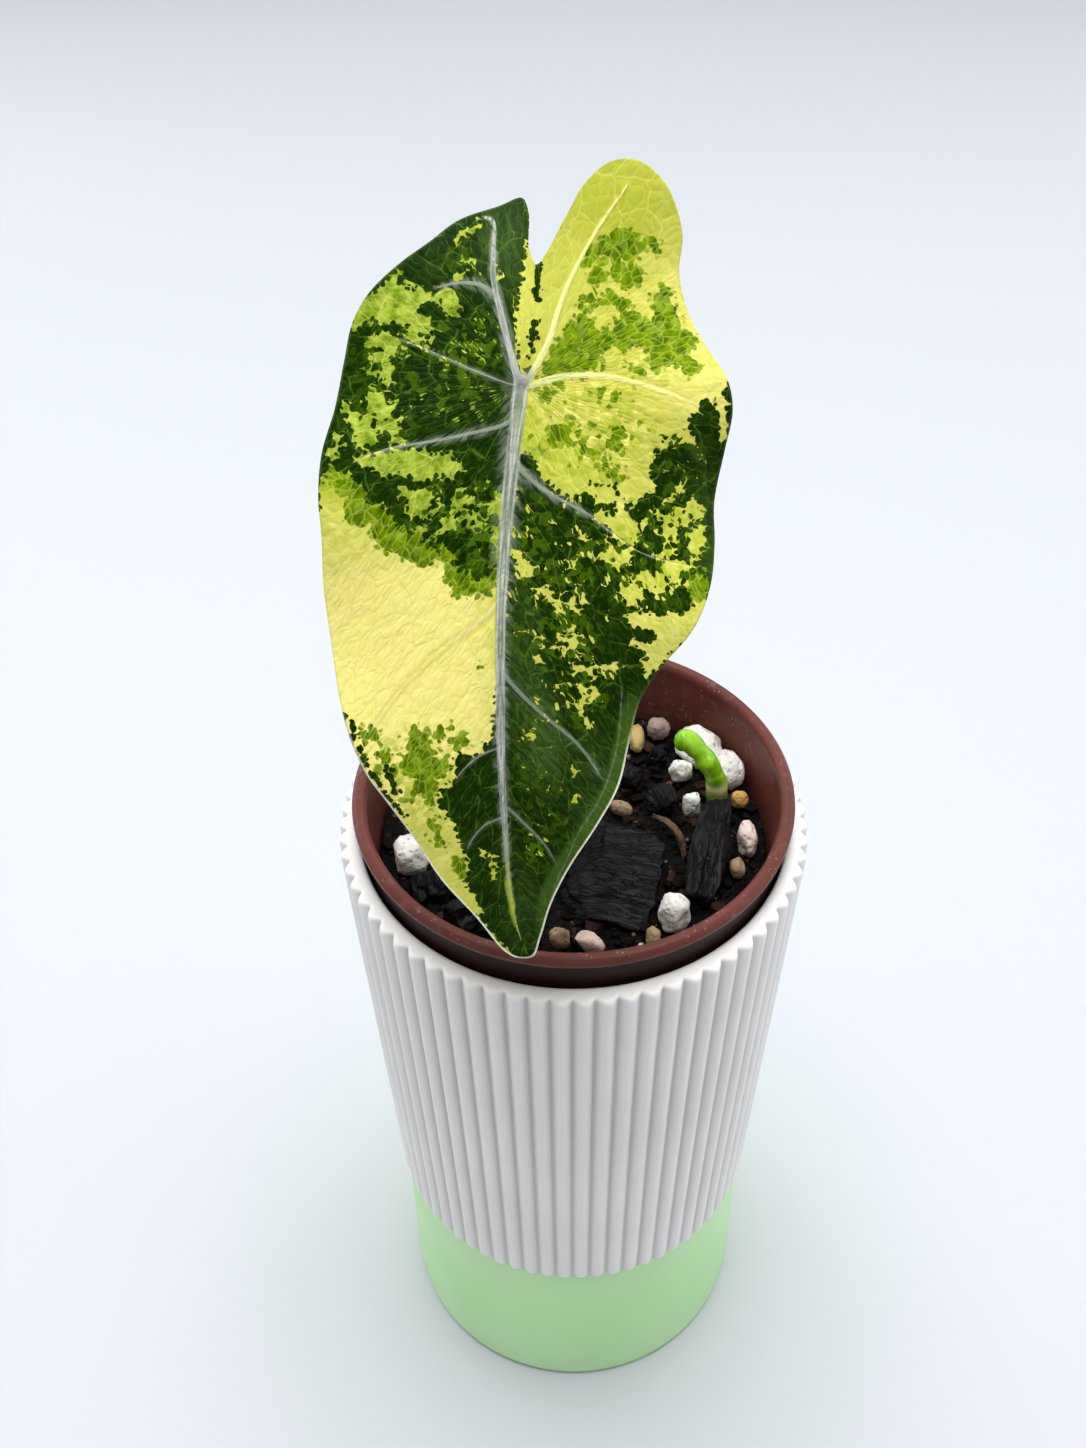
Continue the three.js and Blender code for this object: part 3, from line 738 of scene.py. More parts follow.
class BladeMarks:
    """What the leaf's colours are drawn from: the mesh's own numbers, cells along the veins, and borders."""

    def __init__(self, board: Board, scallop: float) -> None:
        """Reads the mesh, scatters the cells and works out the borders.

        Args:
            board: The material's nodes.
            scallop: How far a small cell pushes a border out, in millimetres.
        """
        self.board = board
        plan, ground, mixing, fleck, ribs = (
            board.node("ShaderNodeSeparateXYZ", {0: board.kept(name, "Vector")}).outputs
            for name in ("plan", "ground", "mixing", "fleck", "ribs")
        )
        self.across, self.along, self.to_edge = plan[0], plan[1], plan[2]
        self.main_gap, self.side_gap, self.gate = ribs[0], board.sum("ABSOLUTE", ribs[1]), ribs[2]
        self.worms, self.mottles, self.silver_haze_and_painted_sheen = fleck[0], fleck[1], mixing[2]
        flat = board.node("ShaderNodeCombineXYZ", {0: self.across, 1: self.along}).outputs[0]
        shift = board.vector("SUBTRACT", board.noise(flat, 0.35, 2).node.outputs["Color"], (0.5, 0.5, 0.5))
        shift = board.node("ShaderNodeVectorMath", {0: shift, 3: 1.6}, operation="SCALE").outputs[0]
        bent = board.vector("ADD", flat, shift)
        drift = board.vector("ADD", board.kept("run", "Vector"), shift)
        along_net = board.node("ShaderNodeMapping", {"Vector": drift, "Scale": (0.5, 1.0, 1.0)}).outputs[0]
        along_streak = board.node("ShaderNodeMapping", {"Vector": drift, "Scale": (0.12, 1.0, 1.0)}).outputs[0]

        small, large = board.cells(bent, 0.95, flat=True), board.cells(bent, 0.3, flat=True)
        self.small = board.node("ShaderNodeSeparateColor", {0: small.outputs["Color"]}).outputs
        self.large = board.node("ShaderNodeSeparateColor", {0: large.outputs["Color"]}).outputs
        self.cloud = board.noise(flat, 0.5, 4, 0.6)
        self.streaks = board.noise(along_streak, 1.3, 3, 0.6)
        self.patchy = board.noise(bent, 0.42, 2)
        self.net_small = board.cells(along_net, 0.85, "DISTANCE_TO_EDGE", flat=True).outputs["Distance"]
        self.net_large = board.cells(along_net, 0.3, "DISTANCE_TO_EDGE", flat=True).outputs["Distance"]

        wander = board.noise(along_net, 0.8, 1)
        worm = board.step(board.sum("ABSOLUTE", board.minus(wander, 0.5)), 0.03, 0.008)
        worm = board.times(worm, board.step(self.patchy, 0.54, 0.66))
        tiny = board.cells(along_net, 1.3, flat=True)
        r_tiny = board.node("ShaderNodeSeparateColor", {0: tiny.outputs["Color"]}).outputs
        dot = board.times(board.step(r_tiny[0], 0.74, 0.8), board.step(tiny.outputs["Distance"], 0.44, 0.28))
        dot = board.times(dot, board.step(self.patchy, 0.46, 0.56))
        flecks = board.times(board.sum("MAXIMUM", worm, dot), 3.2)

        fine = board.noise(flat, 2.4, 3, 0.6)
        fray = board.times(board.minus(fine, 0.5), 0.4)
        lobes = board.times(board.minus(0.46, small.outputs["Distance"]), scallop)
        edge = board.plus(board.sum("MULTIPLY_ADD", mixing[0], self.pick(0), ground[0]), lobes)
        edge = board.minus(edge, board.times(flecks, self.worms))
        self.dark = board.step(board.plus(edge, fray), -0.13, 0.13)
        edge = board.sum("MULTIPLY_ADD", mixing[1], self.pick(1), ground[1])
        edge = board.plus(board.plus(edge, 0.2), lobes)
        self.mid = board.step(board.plus(edge, fray), -0.25, 0.25)
        self.streak = board.step(board.plus(fleck[2], fray), 0.05, 0.5)

        share = board.sum("MULTIPLY_ADD", self.mottles, 0.42, 0.07)
        warm = board.sum("MULTIPLY_ADD", self.pick(2), share, ground[2])
        warm = board.sum("MULTIPLY_ADD", board.minus(self.cloud, 0.5), 0.5, warm)
        wrinkles = board.sum("MULTIPLY_ADD", board.minus(self.streaks, 0.5), 2.2, board.minus(r_tiny[1], 0.5))
        self.warm = board.sum("MULTIPLY_ADD", wrinkles, board.times(self.mottles, 0.5), warm)

    def pick(self, channel: int) -> Socket:
        """A random number of about -1 to 1 from one channel of both sizes of cell."""
        both = self.board.sum("MULTIPLY_ADD", self.small[channel], 1.5, self.board.times(self.large[channel], 0.5))
        return self.board.minus(both, 1.0)


@dataclass(frozen=True)
class VariegatedLeaf:
    """A face of the blade: dark, mid and lime green, cream, silver ribs and a fine net of veins.

    The mesh keeps how far each point is inside the dark and the mid patches, in millimetres. Random
    numbers of small cells push those borders in and out, so that they break up along the net of veins.
    """

    name: str = "leaf"
    dark: Colour = tone(12, 36, 0)
    dark_light: Colour = tone(34, 62, 2)
    dapple: Colour = tone(72, 104, 6)
    painted_sheen: Colour = tone(74, 104, 46)
    dark_net: Colour = tone(104, 140, 44)
    mid: Colour = tone(62, 92, 0)
    mid_light: Colour = tone(114, 141, 2)
    deep_lime: Colour = tone(100, 128, 6)
    pale_lime: Colour = tone(164, 184, 62)
    lime: Colour = tone(172, 182, 50)
    butter: Colour = tone(200, 202, 84)
    cream: Colour = tone(243, 231, 134)
    silver: Colour = tone(148, 158, 138)
    yellow_rib: Colour = tone(236, 234, 158)
    underside: Colour = tone(186, 200, 140)
    pale: float = 0.0
    rough: float = 0.42
    scallop: float = 1.5
    gloss: float = 0.03

    def light_tone(self, marks: BladeMarks) -> Socket:
        """The pale ground: lime where it is cool, butter and cream where it is warm, and painted shade towards the
        upper right.

        Args:
            marks: What it is drawn from.

        Returns:
            The colour.
        """
        board = marks.board
        varied = board.sum("MULTIPLY_ADD", marks.pick(2), 0.3, board.step(marks.cloud, 0.3, 0.66), clamp=True)
        cool = board.blend(varied, self.deep_lime, self.pale_lime)
        light = board.blend(board.step(marks.warm, -0.3, 0.05), cool, self.lime)
        light = board.blend(board.step(marks.warm, 0.05, 0.5), light, self.butter)
        light = board.blend(board.step(marks.warm, 0.5, 0.95), light, self.cream)
        # painted shade: the pale ground is darkened towards the upper right of the blade
        upper_right_painted_shade = board.times(board.step(marks.along, 18, -4), board.step(marks.across, 0, 4))
        return board.blend(board.times(upper_right_painted_shade, 0.36), light, tone(176, 174, 70))

    def mid_tone(self, marks: BladeMarks) -> Socket:
        """The mid green: two greens by cell and cloud, and a few cells of pale lime.

        Args:
            marks: What it is drawn from.

        Returns:
            The colour.
        """
        board = marks.board
        tint = board.sum("MULTIPLY_ADD", marks.pick(1), 0.3, board.step(marks.cloud, 0.35, 0.65), clamp=True)
        colour = board.blend(tint, self.mid, self.mid_light)
        return board.blend(board.step(marks.pick(2), 0.3, 0.5, (0.0, 0.3)), colour, self.pale_lime)

    def dark_tone(self, marks: BladeMarks, net: Socket) -> Socket:
        """The dark green: streaked and clouded, with paler dapples, a painted sheen and a faint net.

        Args:
            marks: What it is drawn from.
            net: Where the net of veins is.

        Returns:
            The colour.
        """
        board = marks.board
        clouded = board.times(board.step(marks.cloud, 0.38, 0.72), 0.5)
        shade = board.sum("MULTIPLY_ADD", board.step(marks.streaks, 0.4, 0.75), 0.5, clouded)
        colour = board.blend(shade, self.dark, self.dark_light)
        dappled = board.step(board.sum("MULTIPLY_ADD", marks.patchy, 2.2, marks.pick(1)), 1.25, 1.5)
        colour = board.blend(board.times(board.times(dappled, marks.worms), 0.75), colour, self.dapple)
        # painted sheen: a grey-green sheen in streaks over the dark green where the mesh's zones say
        painted_sheen = board.times(marks.silver_haze_and_painted_sheen, board.step(marks.streaks, 0.35, 0.7, (0.25, 0.75)))
        colour = board.blend(painted_sheen, colour, self.painted_sheen)
        faint = board.times(net, board.step(marks.cloud, 0.36, 0.66, (0.1, 0.6)))
        return board.blend(faint, colour, self.dark_net)

    def patches(self, marks: BladeMarks) -> Socket:
        """The three grounds laid over each other, with the net, darker on cream as painted shade, the band by the
        margin and the streak.

        Args:
            marks: What it is drawn from.

        Returns:
            The colour.
        """
        board = marks.board
        fine_line = board.step(marks.net_small, 0.08, 0.02)
        wide_line = board.step(marks.net_large, 0.034, 0.008)
        net = board.sum("MAXIMUM", board.times(fine_line, 0.32), board.times(wide_line, 0.8))
        gaps = board.times(board.step(marks.net_small, 0.11, 0.03), marks.mid)
        colour = board.blend(marks.mid, self.light_tone(marks), self.mid_tone(marks))
        # painted shade: on cream the net is drawn darker, as the shade in the grooves of the quilted relief
        net_on_pale_with_groove_shade = board.blend(board.step(marks.warm, 0.5, 0.9), tone(232, 226, 124), tone(214, 196, 86))
        colour = board.blend(board.times(net, 0.4), colour, board.blend(marks.mid, net_on_pale_with_groove_shade, tone(166, 188, 60)))
        colour = board.blend(board.times(gaps, 0.4), colour, tone(166, 190, 60))
        colour = board.blend(marks.dark, colour, self.dark_tone(marks, net))
        band = board.times(board.step(marks.to_edge, 3.0, 1.8), board.step(marks.across, 0, 2))
        band = board.times(board.times(band, board.step(marks.along, 45, 52)), marks.dark)
        colour = board.blend(board.times(band, 0.4), colour, tone(88, 122, 44))
        return board.blend(marks.streak, colour, tone(146, 170, 30))

    def side_veins(self, marks: BladeMarks, colour: Socket, halo: Socket) -> Socket:
        """The side veins: silver in a silver haze on dark, pale on cream between two darker flanks of painted shade.

        Args:
            marks: What they are drawn from.
            colour: What they lie on.
            halo: How near a side vein is, 0 to 1.

        Returns:
            The colour.
        """
        board = marks.board
        silver_haze_and_painted_sheen = board.sum("MAXIMUM", halo, board.step(marks.main_gap, 2.7, 0.9))
        silvery = board.times(silver_haze_and_painted_sheen, board.step(marks.streaks, 0.36, 0.66, (0.0, 0.55)))
        colour = board.blend(board.times(silvery, marks.dark), colour, self.silver)
        side = board.times(board.step(marks.side_gap, 1.3, 0.5), marks.gate)
        side = board.times(side, board.step(marks.along, 16, 40, (0.75, 0.55)))
        near_margin = board.times(board.step(marks.to_edge, 4.4, 3.2), board.step(marks.across, 0, 2))
        near_margin = board.times(near_margin, board.step(marks.along, 40, 46, (0.0, 0.6)))
        side = board.times(side, board.minus(1.0, near_margin))
        on_cream = board.times(board.minus(1.0, marks.dark), board.minus(1.0, marks.mid))
        # painted shade: the flanks beside a side vein on cream are darkened
        painted_flank_shade = board.times(board.times(board.step(marks.side_gap, 4.0, 1.4), marks.gate), on_cream)
        colour = board.blend(board.times(painted_flank_shade, 0.5), colour, tone(204, 190, 82))
        return board.blend(side, colour, board.blend(marks.dark, self.yellow_rib, self.silver))

    def main_veins(self, marks: BladeMarks, colour: Socket) -> Socket:
        """The main veins: grey with fine grooves along them, yellow on the pale lobe and lime at the tip.

        Args:
            marks: What they are drawn from.
            colour: What they lie on.

        Returns:
            The colour.
        """
        board = marks.board
        lengthwise = {0: board.times(marks.main_gap, 1.6), 1: board.times(marks.along, 0.07)}
        where = board.node("ShaderNodeCombineXYZ", lengthwise).outputs[0]
        grooves = board.noise(where, 1.4, 3, 0.6)
        rib = board.blend(board.step(grooves, 0.4, 0.62), tone(118, 128, 114), tone(192, 195, 188))
        rib = board.blend(board.step(marks.along, 66, 88), rib, tone(170, 182, 60))
        on_lobe = board.times(board.step(marks.along, 0.5, -3), board.step(marks.across, 0.6, 2.0))
        rib = board.blend(on_lobe, rib, self.yellow_rib)
        return board.blend(board.times(board.step(marks.main_gap, 1.2, 0.75), 0.9), colour, rib)

    def margin(self, marks: BladeMarks, colour: Socket) -> Socket:
        """The thin rim: faint above, and pale towards the tip.

        Args:
            marks: What it is drawn from.
            colour: What it lies on.

        Returns:
            The colour.
        """
        board = marks.board
        low_edge = board.step(marks.along, 46, 62)
        rim = board.times(board.step(marks.to_edge, 0.42, 0.16), board.sum("MULTIPLY_ADD", low_edge, 0.82, 0.08))
        return board.blend(rim, colour, board.blend(low_edge, tone(150, 165, 96), tone(236, 236, 214)))

    def build(self) -> bpy.types.Material:
        """Makes the material: the patches, the veins and the rim, over a relief quilted by the net.

        Returns:
            The material.
        """
        board = Board(self.name)
        marks = BladeMarks(board, self.scallop)
        near = board.times(marks.gate, board.step(marks.along, 14, 44, (1.0, 0.35)))
        halo = board.times(board.step(marks.side_gap, 4.5, 0.8), near)
        colour = self.side_veins(marks, self.patches(marks), halo)
        colour = self.margin(marks, self.main_veins(marks, colour))
        colour = board.blend(self.pale, colour, self.underside)

        quilt = board.sum("MINIMUM", board.times(marks.net_large, 3.0), 1.0)
        fine_quilt = board.sum("MINIMUM", board.times(marks.net_small, 4.0), 1.0)
        relief = board.sum("MULTIPLY_ADD", quilt, 0.65, board.times(fine_quilt, 0.35))
        relief = board.minus(relief, board.times(halo, 0.8))
        rough = board.step(marks.cloud, 0.3, 0.7, (self.rough - 0.05, self.rough + 0.06))
        return board.finish(colour, rough, board.bump(relief, 0.00018, 0.75), Specular_IOR_Level=self.gloss)


# The planter


@dataclass
class BaseCup:
    """The smooth mint cup under the sleeve, with a shoulder that carries the ribbed skirt."""

    radius: float = 42.75
    neck_radius: float = 40.9
    shoulder: float = 53.5
    neck_top: float = 61.5
    wall: float = 1.6
    floor: float = 2.6
    columns: int = 192

    def build(self) -> None:
        """Makes and dresses the cup: a rounded profile turned about the upright axis."""
        inner = self.neck_radius - self.wall
        profile = rounded(
            [
                (0, 1, 0), (self.radius - 5, 1, 0.5), (self.radius - 5.6, 0, 0.5), (self.radius, 0, 2.6),
                (self.radius, self.shoulder, 0.7), (self.neck_radius, self.shoulder, 0.3),
                (self.neck_radius, self.neck_top, 0.5), (inner, self.neck_top, 0.5), (inner, self.floor, 2),
                (0, self.floor, 0),
            ],
            7,
        )
        plastic = MouldedPlastic("mint_plastic", tone(192, 236, 174), tone(186, 231, 167), 0.42).build()
        stands_for(piece("mint_base", turned(profile, self.columns), [plastic]), "mint_shell", "base_cup")


@dataclass
class RibbedSleeve:
    """The white pleated sleeve: narrow round-crested ribs outside and a plain tapering bore."""

    bottom: float = 53.5
    top: float = 168.0
    crest_bottom: float = 43.8
    crest_top: float = 48.5
    ribs: int = 68
    depth: float = 1.7
    floor_under: float = 61.75
    floor_top: float = 64.5
    floor_radius: float = 41.0
    skirt_bore: float = 41.25
    turn: float = -1.57
    steps: int = 12
    crest_round: float = 0.26

    def pleat(self, angle: Array, rows: Array) -> Array:
        """What to add to the radius: the valley's depth from the profile row, times the zigzag."""
        return -rows[:, 2:3] * self.zigzag(angle)

    def zigzag(self, angle: Array) -> Array:
        """The depth across a rib as a share: a zigzag with a wide rounded crest.

        Where t goes from 1 in one valley through 0 on the crest to 1 in the next, it is
        ((root(t*t + e*e) - e) / (root(1 + e*e) - e))^1.4.

        Args:
            angle: Angles round the axis.

        Returns:
            The shares, 0 on a crest and 1 in a valley.
        """
        share = ((angle - math.radians(self.turn)) / (2 * np.pi) * self.ribs) % 1
        t = np.abs(2 * share - 1)
        e = self.crest_round
        return ((np.sqrt(t * t + e * e) - e) / (math.sqrt(1 + e * e) - e)) ** 1.4

    def profile(self) -> Array:
        """The sleeve's section, from the underside round to the floor.

        Returns:
            Rows of the crest's radius, the height and the valley's depth.
        """
        lean = (self.crest_top - self.crest_bottom) / (self.top - self.bottom)
        height = np.linspace(self.bottom + 1.3, self.top - 1.5, 14)
        rise = (height - self.bottom) / (self.top - self.bottom)
        valley = 1.05 + (self.depth - 1.05) * rise**0.8
        wall = np.stack([self.crest_bottom + lean * (height - self.bottom), height, valley], -1)
        foot = [(43.1, 53.5, 0.75), (43.5, 53.7, 0.95), (43.72, 54.2, 1.02)]
        lip = [
            (48.42, 167.0, 1.66), (48.3, 167.5, 1.58), (48.02, 167.83, 1.45), (47.6, 167.98, 1.25), (47.0, 168.0, 1.0),
        ]
        inside_rows = [
            (45.4, 168.0, 0), (44.75, 167.9, 0), (44.3, 167.6, 0), (44.05, 167.1, 0), (43.9, 164.0, 0),
            (self.floor_radius + 0.1, self.floor_top + 1.6, 0), (self.floor_radius - 1.2, self.floor_top, 0),
        ]
        under = [
            (self.skirt_bore - 1.0, self.floor_under, 0), (self.skirt_bore, self.floor_under - 1.0, 0),
            (self.skirt_bore, self.bottom + 0.4, 0), (self.skirt_bore + 0.3, self.bottom, 0),
        ]
        rows = [(0, self.floor_under, 0), *under, *foot, *wall.tolist(), *lip, *inside_rows, (0, self.floor_top, 0)]
        return np.array(rows, float)

    def build(self) -> None:
        """Makes and dresses the sleeve."""
        form = turned(self.profile(), self.ribs * self.steps, self.pleat)
        # painted shade: the valley field darkens the valleys between the ribs
        plastic = MouldedPlastic(
            "white_plastic", tone(240, 237, 235), tone(235, 232, 230), dust=0.3, dust_colour=tone(250, 249, 248),
            painted_shade_field="valley", painted_shade_colour=tone(176, 170, 166), painted_shade_share=0.75,
        ).build()
        x, y, z = form.points.T
        outside = ease(np.hypot(x, y), self.skirt_bore + 0.4, self.skirt_bore + 0.7)
        outside = outside * ease(-z, -self.top + 0.2, -self.top + 1.2)
        # painted shade in the valleys, the more the deeper, away from the bore and the top
        valley = self.zigzag(np.arctan2(x, -y)) ** 2 * outside
        stands_for(piece("white_sleeve", form, [plastic], {"valley": valley}, sharp=48), "white_shell", "ribbed_sleeve")


@dataclass
class NurseryPot:
    """The brown pot in which the plant grows: a rolled lip, a collar, a tapering wall and a foot ring."""

    top: float = 176.6
    lip: float = 45.2
    collar: float = 43.4
    foot: float = 33.4
    floor_top: float = 68.0
    columns: int = 192

    def inner_radius(self, height: Array) -> Array:
        """Radius of the inner wall: 33.0 at the floor, and 8.1 more over the next 96.6 of height."""
        return self.foot - 0.4 + (height - self.floor_top) / 96.6 * 8.1

    def build(self) -> None:
        """Makes and dresses the pot: a rounded profile turned about the upright axis."""
        z = self.top
        profile = rounded(
            [
                (0, 66, 0), (29.4, 66, 0.5), (29.8, 64.5, 0.5), (33.4, 64.5, 0.6), (34.2, 65.5, 0.6),
                (42.3, z - 12, 0.6), (self.collar, z - 10.8, 0.6), (self.collar + 0.1, z - 2.4, 0.4),
                (self.lip - 0.35, z - 2.35, 0.5), (self.lip, z - 1.2, 1.2), (self.lip - 0.9, z, 1.0),
                (self.lip - 2.4, z, 0.9), (self.collar - 1.3, z - 1.1, 1.0), (self.collar - 1.4, z - 4, 1.0),
                (41.1, z - 12, 1.5), (33.0, self.floor_top, 1.2), (0, self.floor_top, 0),
            ],
            6,
        )
        # painted shade: by the under_lip field the outer wall below the lip is darkened to near black
        plastic = MouldedPlastic(
            "brown_plastic", tone(102, 55, 47), tone(88, 47, 39), 0.34, 0.00005, 0.42, tone(176, 140, 130),
            "under_lip", shine=0.14,
        ).build()
        form = turned(profile, self.columns)
        across, height = np.hypot(form.points[:, 0], form.points[:, 1]), form.points[:, 2]
        # painted shade on the outer wall below the lip, in the gap between the pot and the sleeve
        under_lip = ((height < z - 2.2) & (across > self.inner_radius(height) + 1.1)).astype(float)
        stands_for(piece("brown_pot", form, [plastic], {"under_lip": under_lip}), "brown_shell", "nursery_pot")


# What lies in the pot


@dataclass
class PottingMix:
    """The damp mix that fills the pot, with loose crumbs on it."""

    pot: NurseryPot
    level: float = 161.0
    clearance: float = 0.3
    crumbs: int = 900
    seed: int = 77

    def relief(self, x: Array, y: Array) -> Array:
        """Height of the surface: level + 0.5 sin(0.55x + 1.3) cos(0.47y) + 0.4 sin(0.31(x + y))."""
        return self.level + 0.5 * np.sin(0.55 * x + 1.3) * np.cos(0.47 * y) + 0.4 * np.sin(0.31 * (x + y))

    def body(self) -> Form:
        """The mass of mix: straight walls, and a top whose rings are lifted by the relief and by crumbly noise.

        Returns:
            The closed form.
        """
        low, high = self.pot.floor_top + 0.3, self.level - 1
        foot, rim = (float(self.pot.inner_radius(np.array(height))) for height in (low, high))
        walls = [(0, low), (foot - 0.8, low), (rim - self.clearance, high)]
        top = [(r, self.level) for r in np.linspace(40.0, 0.5, 66)]
        form = turned(np.array([*walls, *top, (0, self.level)]), 200)
        points = form.points
        upper = points[:, 2] > high + 0.5
        x, y = points[:, 0], points[:, 1]
        rough = 0.9 * layered_noise(np.stack([x, y, 0 * x], -1), 2.4, 3, 5)
        points[:, 2] = np.where(upper, self.relief(x, y) + rough, points[:, 2])
        return form

    def litter(self) -> tuple[Form, Array]:
        """Loose crumbs: one small ball of twenty faces, stretched, turned and set down at seeded places.

        Returns:
            The crumbs as one form, and the tone of each of their points.
        """
        draw = np.random.default_rng(self.seed)
        count = self.crumbs
        unit = ball(2, 5)
        radius = 38.6 * np.sqrt(draw.random(count))
        angle = 2 * np.pi * draw.random(count)
        size = 0.4 + 1.75 * draw.random(count) ** 2.4
        long, wide = 0.8 + 0.7 * draw.random(count), 0.6 + 0.5 * draw.random(count)
        stretch = np.stack([size * long, size * wide, size * 0.75], -1)
        tones = draw.random(count)
        tones = np.where(size > 1.0, tones * 0.72, tones)
        swing = 2 * np.pi * draw.random(count)
        jolt = 1 + 0.6 * (draw.random((count, len(unit.points))) - 0.5)
        local = unit.points[None] * stretch[:, None] * jolt[..., None]
        cos, sin = np.cos(swing)[:, None], np.sin(swing)[:, None]
        x, y = radius * np.sin(angle), radius * np.cos(angle)
        placed = np.stack(
            [
                local[..., 0] * cos - local[..., 1] * sin + x[:, None],
                local[..., 0] * sin + local[..., 1] * cos + y[:, None],
                local[..., 2] + (self.relief(x, y) + 0.25 * size)[:, None],
            ],
            -1,
        )
        shift = (np.arange(count) * len(unit.points))[:, None, None]
        faces = [(f[None] + shift).reshape(-1, f.shape[1]) for f in unit.faces]
        return Form(placed.reshape(-1, 3), faces), np.repeat(tones, len(unit.points))

    def build(self) -> None:
        """Makes and dresses the mix and its crumbs."""
        stands_for(piece("mix_body", self.body(), [DampMix().build()]), "mix", "potting_mix")
        form, tones = self.litter()
        stands_for(piece("mix_crumbs", form, [ScatteredCrumbs().build()], {"tone": tones}, sharp=35), "mix")


@dataclass(frozen=True)
class Lump:
    """Place, half sizes and turn of one thing bedded in the mix, and a second that is grown to it."""

    at: Place
    half: Place
    turn: float = 0.0
    tilt: float = 0.0
    seed: int = 1
    taper: float = 0.0
    cross_grain: bool = False
    twin: "Lump | None" = None


class StoneKind(Enum):
    """How a stone is roughened: size of its bumps, their height, and size of its pores."""

    PUMICE = (0.55, 0.16, 0.16)
    PEBBLE = (0.7, 0.2, 0.0)


@dataclass
class BeddedStones:
    """Stones of one kind, each a ball stretched and roughened by layered noise."""

    kind: StoneKind
    stem: str
    slot: str
    lumps: list[Lump]
    skins: list[Grit]
    rows: int = 34
    columns: int = 52

    def shape(self, lump: Lump) -> Form:
        """One stone: direction, cut by seeded planes, times half size times 1 + height * noise - pores.

        Args:
            lump: Its place and sizes.

        Returns:
            The form.
        """
        size, height, pore = self.kind.value
        unit = ball(self.rows, self.columns)
        d = unit.points
        bulk = np.sign(d) * np.abs(d) ** 0.86
        draw = np.random.default_rng(lump.seed + 7)
        for _ in range(10 if self.kind is StoneKind.PUMICE else 4):
            normal = draw.normal(size=3)
            normal /= np.linalg.norm(normal)
            over = np.maximum(bulk @ normal - draw.uniform(0.78, 1.0), 0)
            bulk = bulk - 0.9 * over[:, None] * normal
        lifts = height * layered_noise(d, size, 4, lump.seed)
        if pore > 0:
            pits = lattice_noise(d * np.array(lump.half), 0.9, lump.seed + 50)
            lifts = lifts - pore * 0.5 * ease(pits, 0.25, 0.7)
        points = bulk * (1 + lifts)[:, None] * np.array(lump.half)
        return Form(spun(points, lump.tilt, lump.turn) + np.array(lump.at), unit.faces)

    def build(self) -> None:
        """Makes and dresses every stone, choosing skins by name."""
        skins = {skin.name: skin.build() for skin in self.skins}
        for number, lump in enumerate(self.lumps, 1):
            name = f"{self.stem}_{number}"
            form = self.shape(lump)
            if lump.twin is not None:
                form = form.joined(self.shape(lump.twin))
            skin = skins.get(name, next(iter(skins.values())))
            stands_for(piece(f"stone_{name}", form, [skin]), self.slot, name)


@dataclass
class CharcoalPieces:
    """Broken charcoal: boxes with cut corners, deep creases and a long grain."""

    lumps: list[Lump]
    rows: int = 90
    columns: int = 130

    def shape(self, lump: Lump) -> tuple[Form, Array, Array]:
        """One piece.

        A ball is squared by pushing each direction out to the box, its corners are cut by seeded planes,
        and noise moves its skin outwards by 0.65 ridges + 0.6 creases + 0.5 chips + 1.1 bulge - 0.1, where
        the ridges and creases are long in the grain's direction.

        Args:
            lump: Its place and sizes.

        Returns:
            The form, the grain's own coordinates at each point, and how high it stands between the creases.
        """
        unit = ball(self.rows, self.columns)
        d = unit.points
        power = 6 if lump.cross_grain else 4
        box = d / np.maximum((np.abs(d) ** power).sum(1, keepdims=True) ** (1 / power), 1e-6)
        draw = np.random.default_rng(lump.seed)
        for _ in range(11):
            normal = draw.normal(size=3) * np.array([1, 0.6, 1])
            normal /= np.linalg.norm(normal)
            over = np.maximum(box @ normal - draw.uniform(0.84, 1.06), 0)
            box = box - over[:, None] * normal
        local = box * np.array(lump.half)
        local[:, 0] *= 1 - lump.taper * box[:, 1]
        stretched = local * (np.array([0.2, 1, 1]) if lump.cross_grain else np.array([1, 0.2, 1]))
        ridges = layered_noise(stretched, 2.6, 3, lump.seed + 9)
        creases = np.minimum(3.2 * np.abs(layered_noise(stretched, 3.3, 2, lump.seed + 17)), 1) - 1
        chips = layered_noise(local, 3.4, 2, lump.seed + 31)
        bulge = layered_noise(local, 8.0, 1, lump.seed + 51)
        out = d / np.linalg.norm(d, axis=1, keepdims=True)
        lift = 0.65 * ridges + 0.6 * creases + 0.5 * np.minimum(chips, 0.2) + 1.1 * bulge - 0.1
        local = local + out * lift[:, None]
        grain = local if lump.cross_grain else np.stack([local[:, 1], local[:, 0], local[:, 2]], -1)
        height = 0.5 + 0.5 * creases + 0.5 * ridges
        return Form(spun(local, lump.tilt, lump.turn) + np.array(lump.at), unit.faces), grain, height

    def build(self) -> None:
        """Makes and dresses every piece."""
        skin = BrokenCharcoal().build()
        for number, lump in enumerate(self.lumps, 1):
            form, grain, height = self.shape(lump)
            made = piece(f"coal_{number}", form, [skin], {"grain": grain, "height": height}, sharp=38)
            stands_for(made, "charcoal", f"charcoal_{number}")


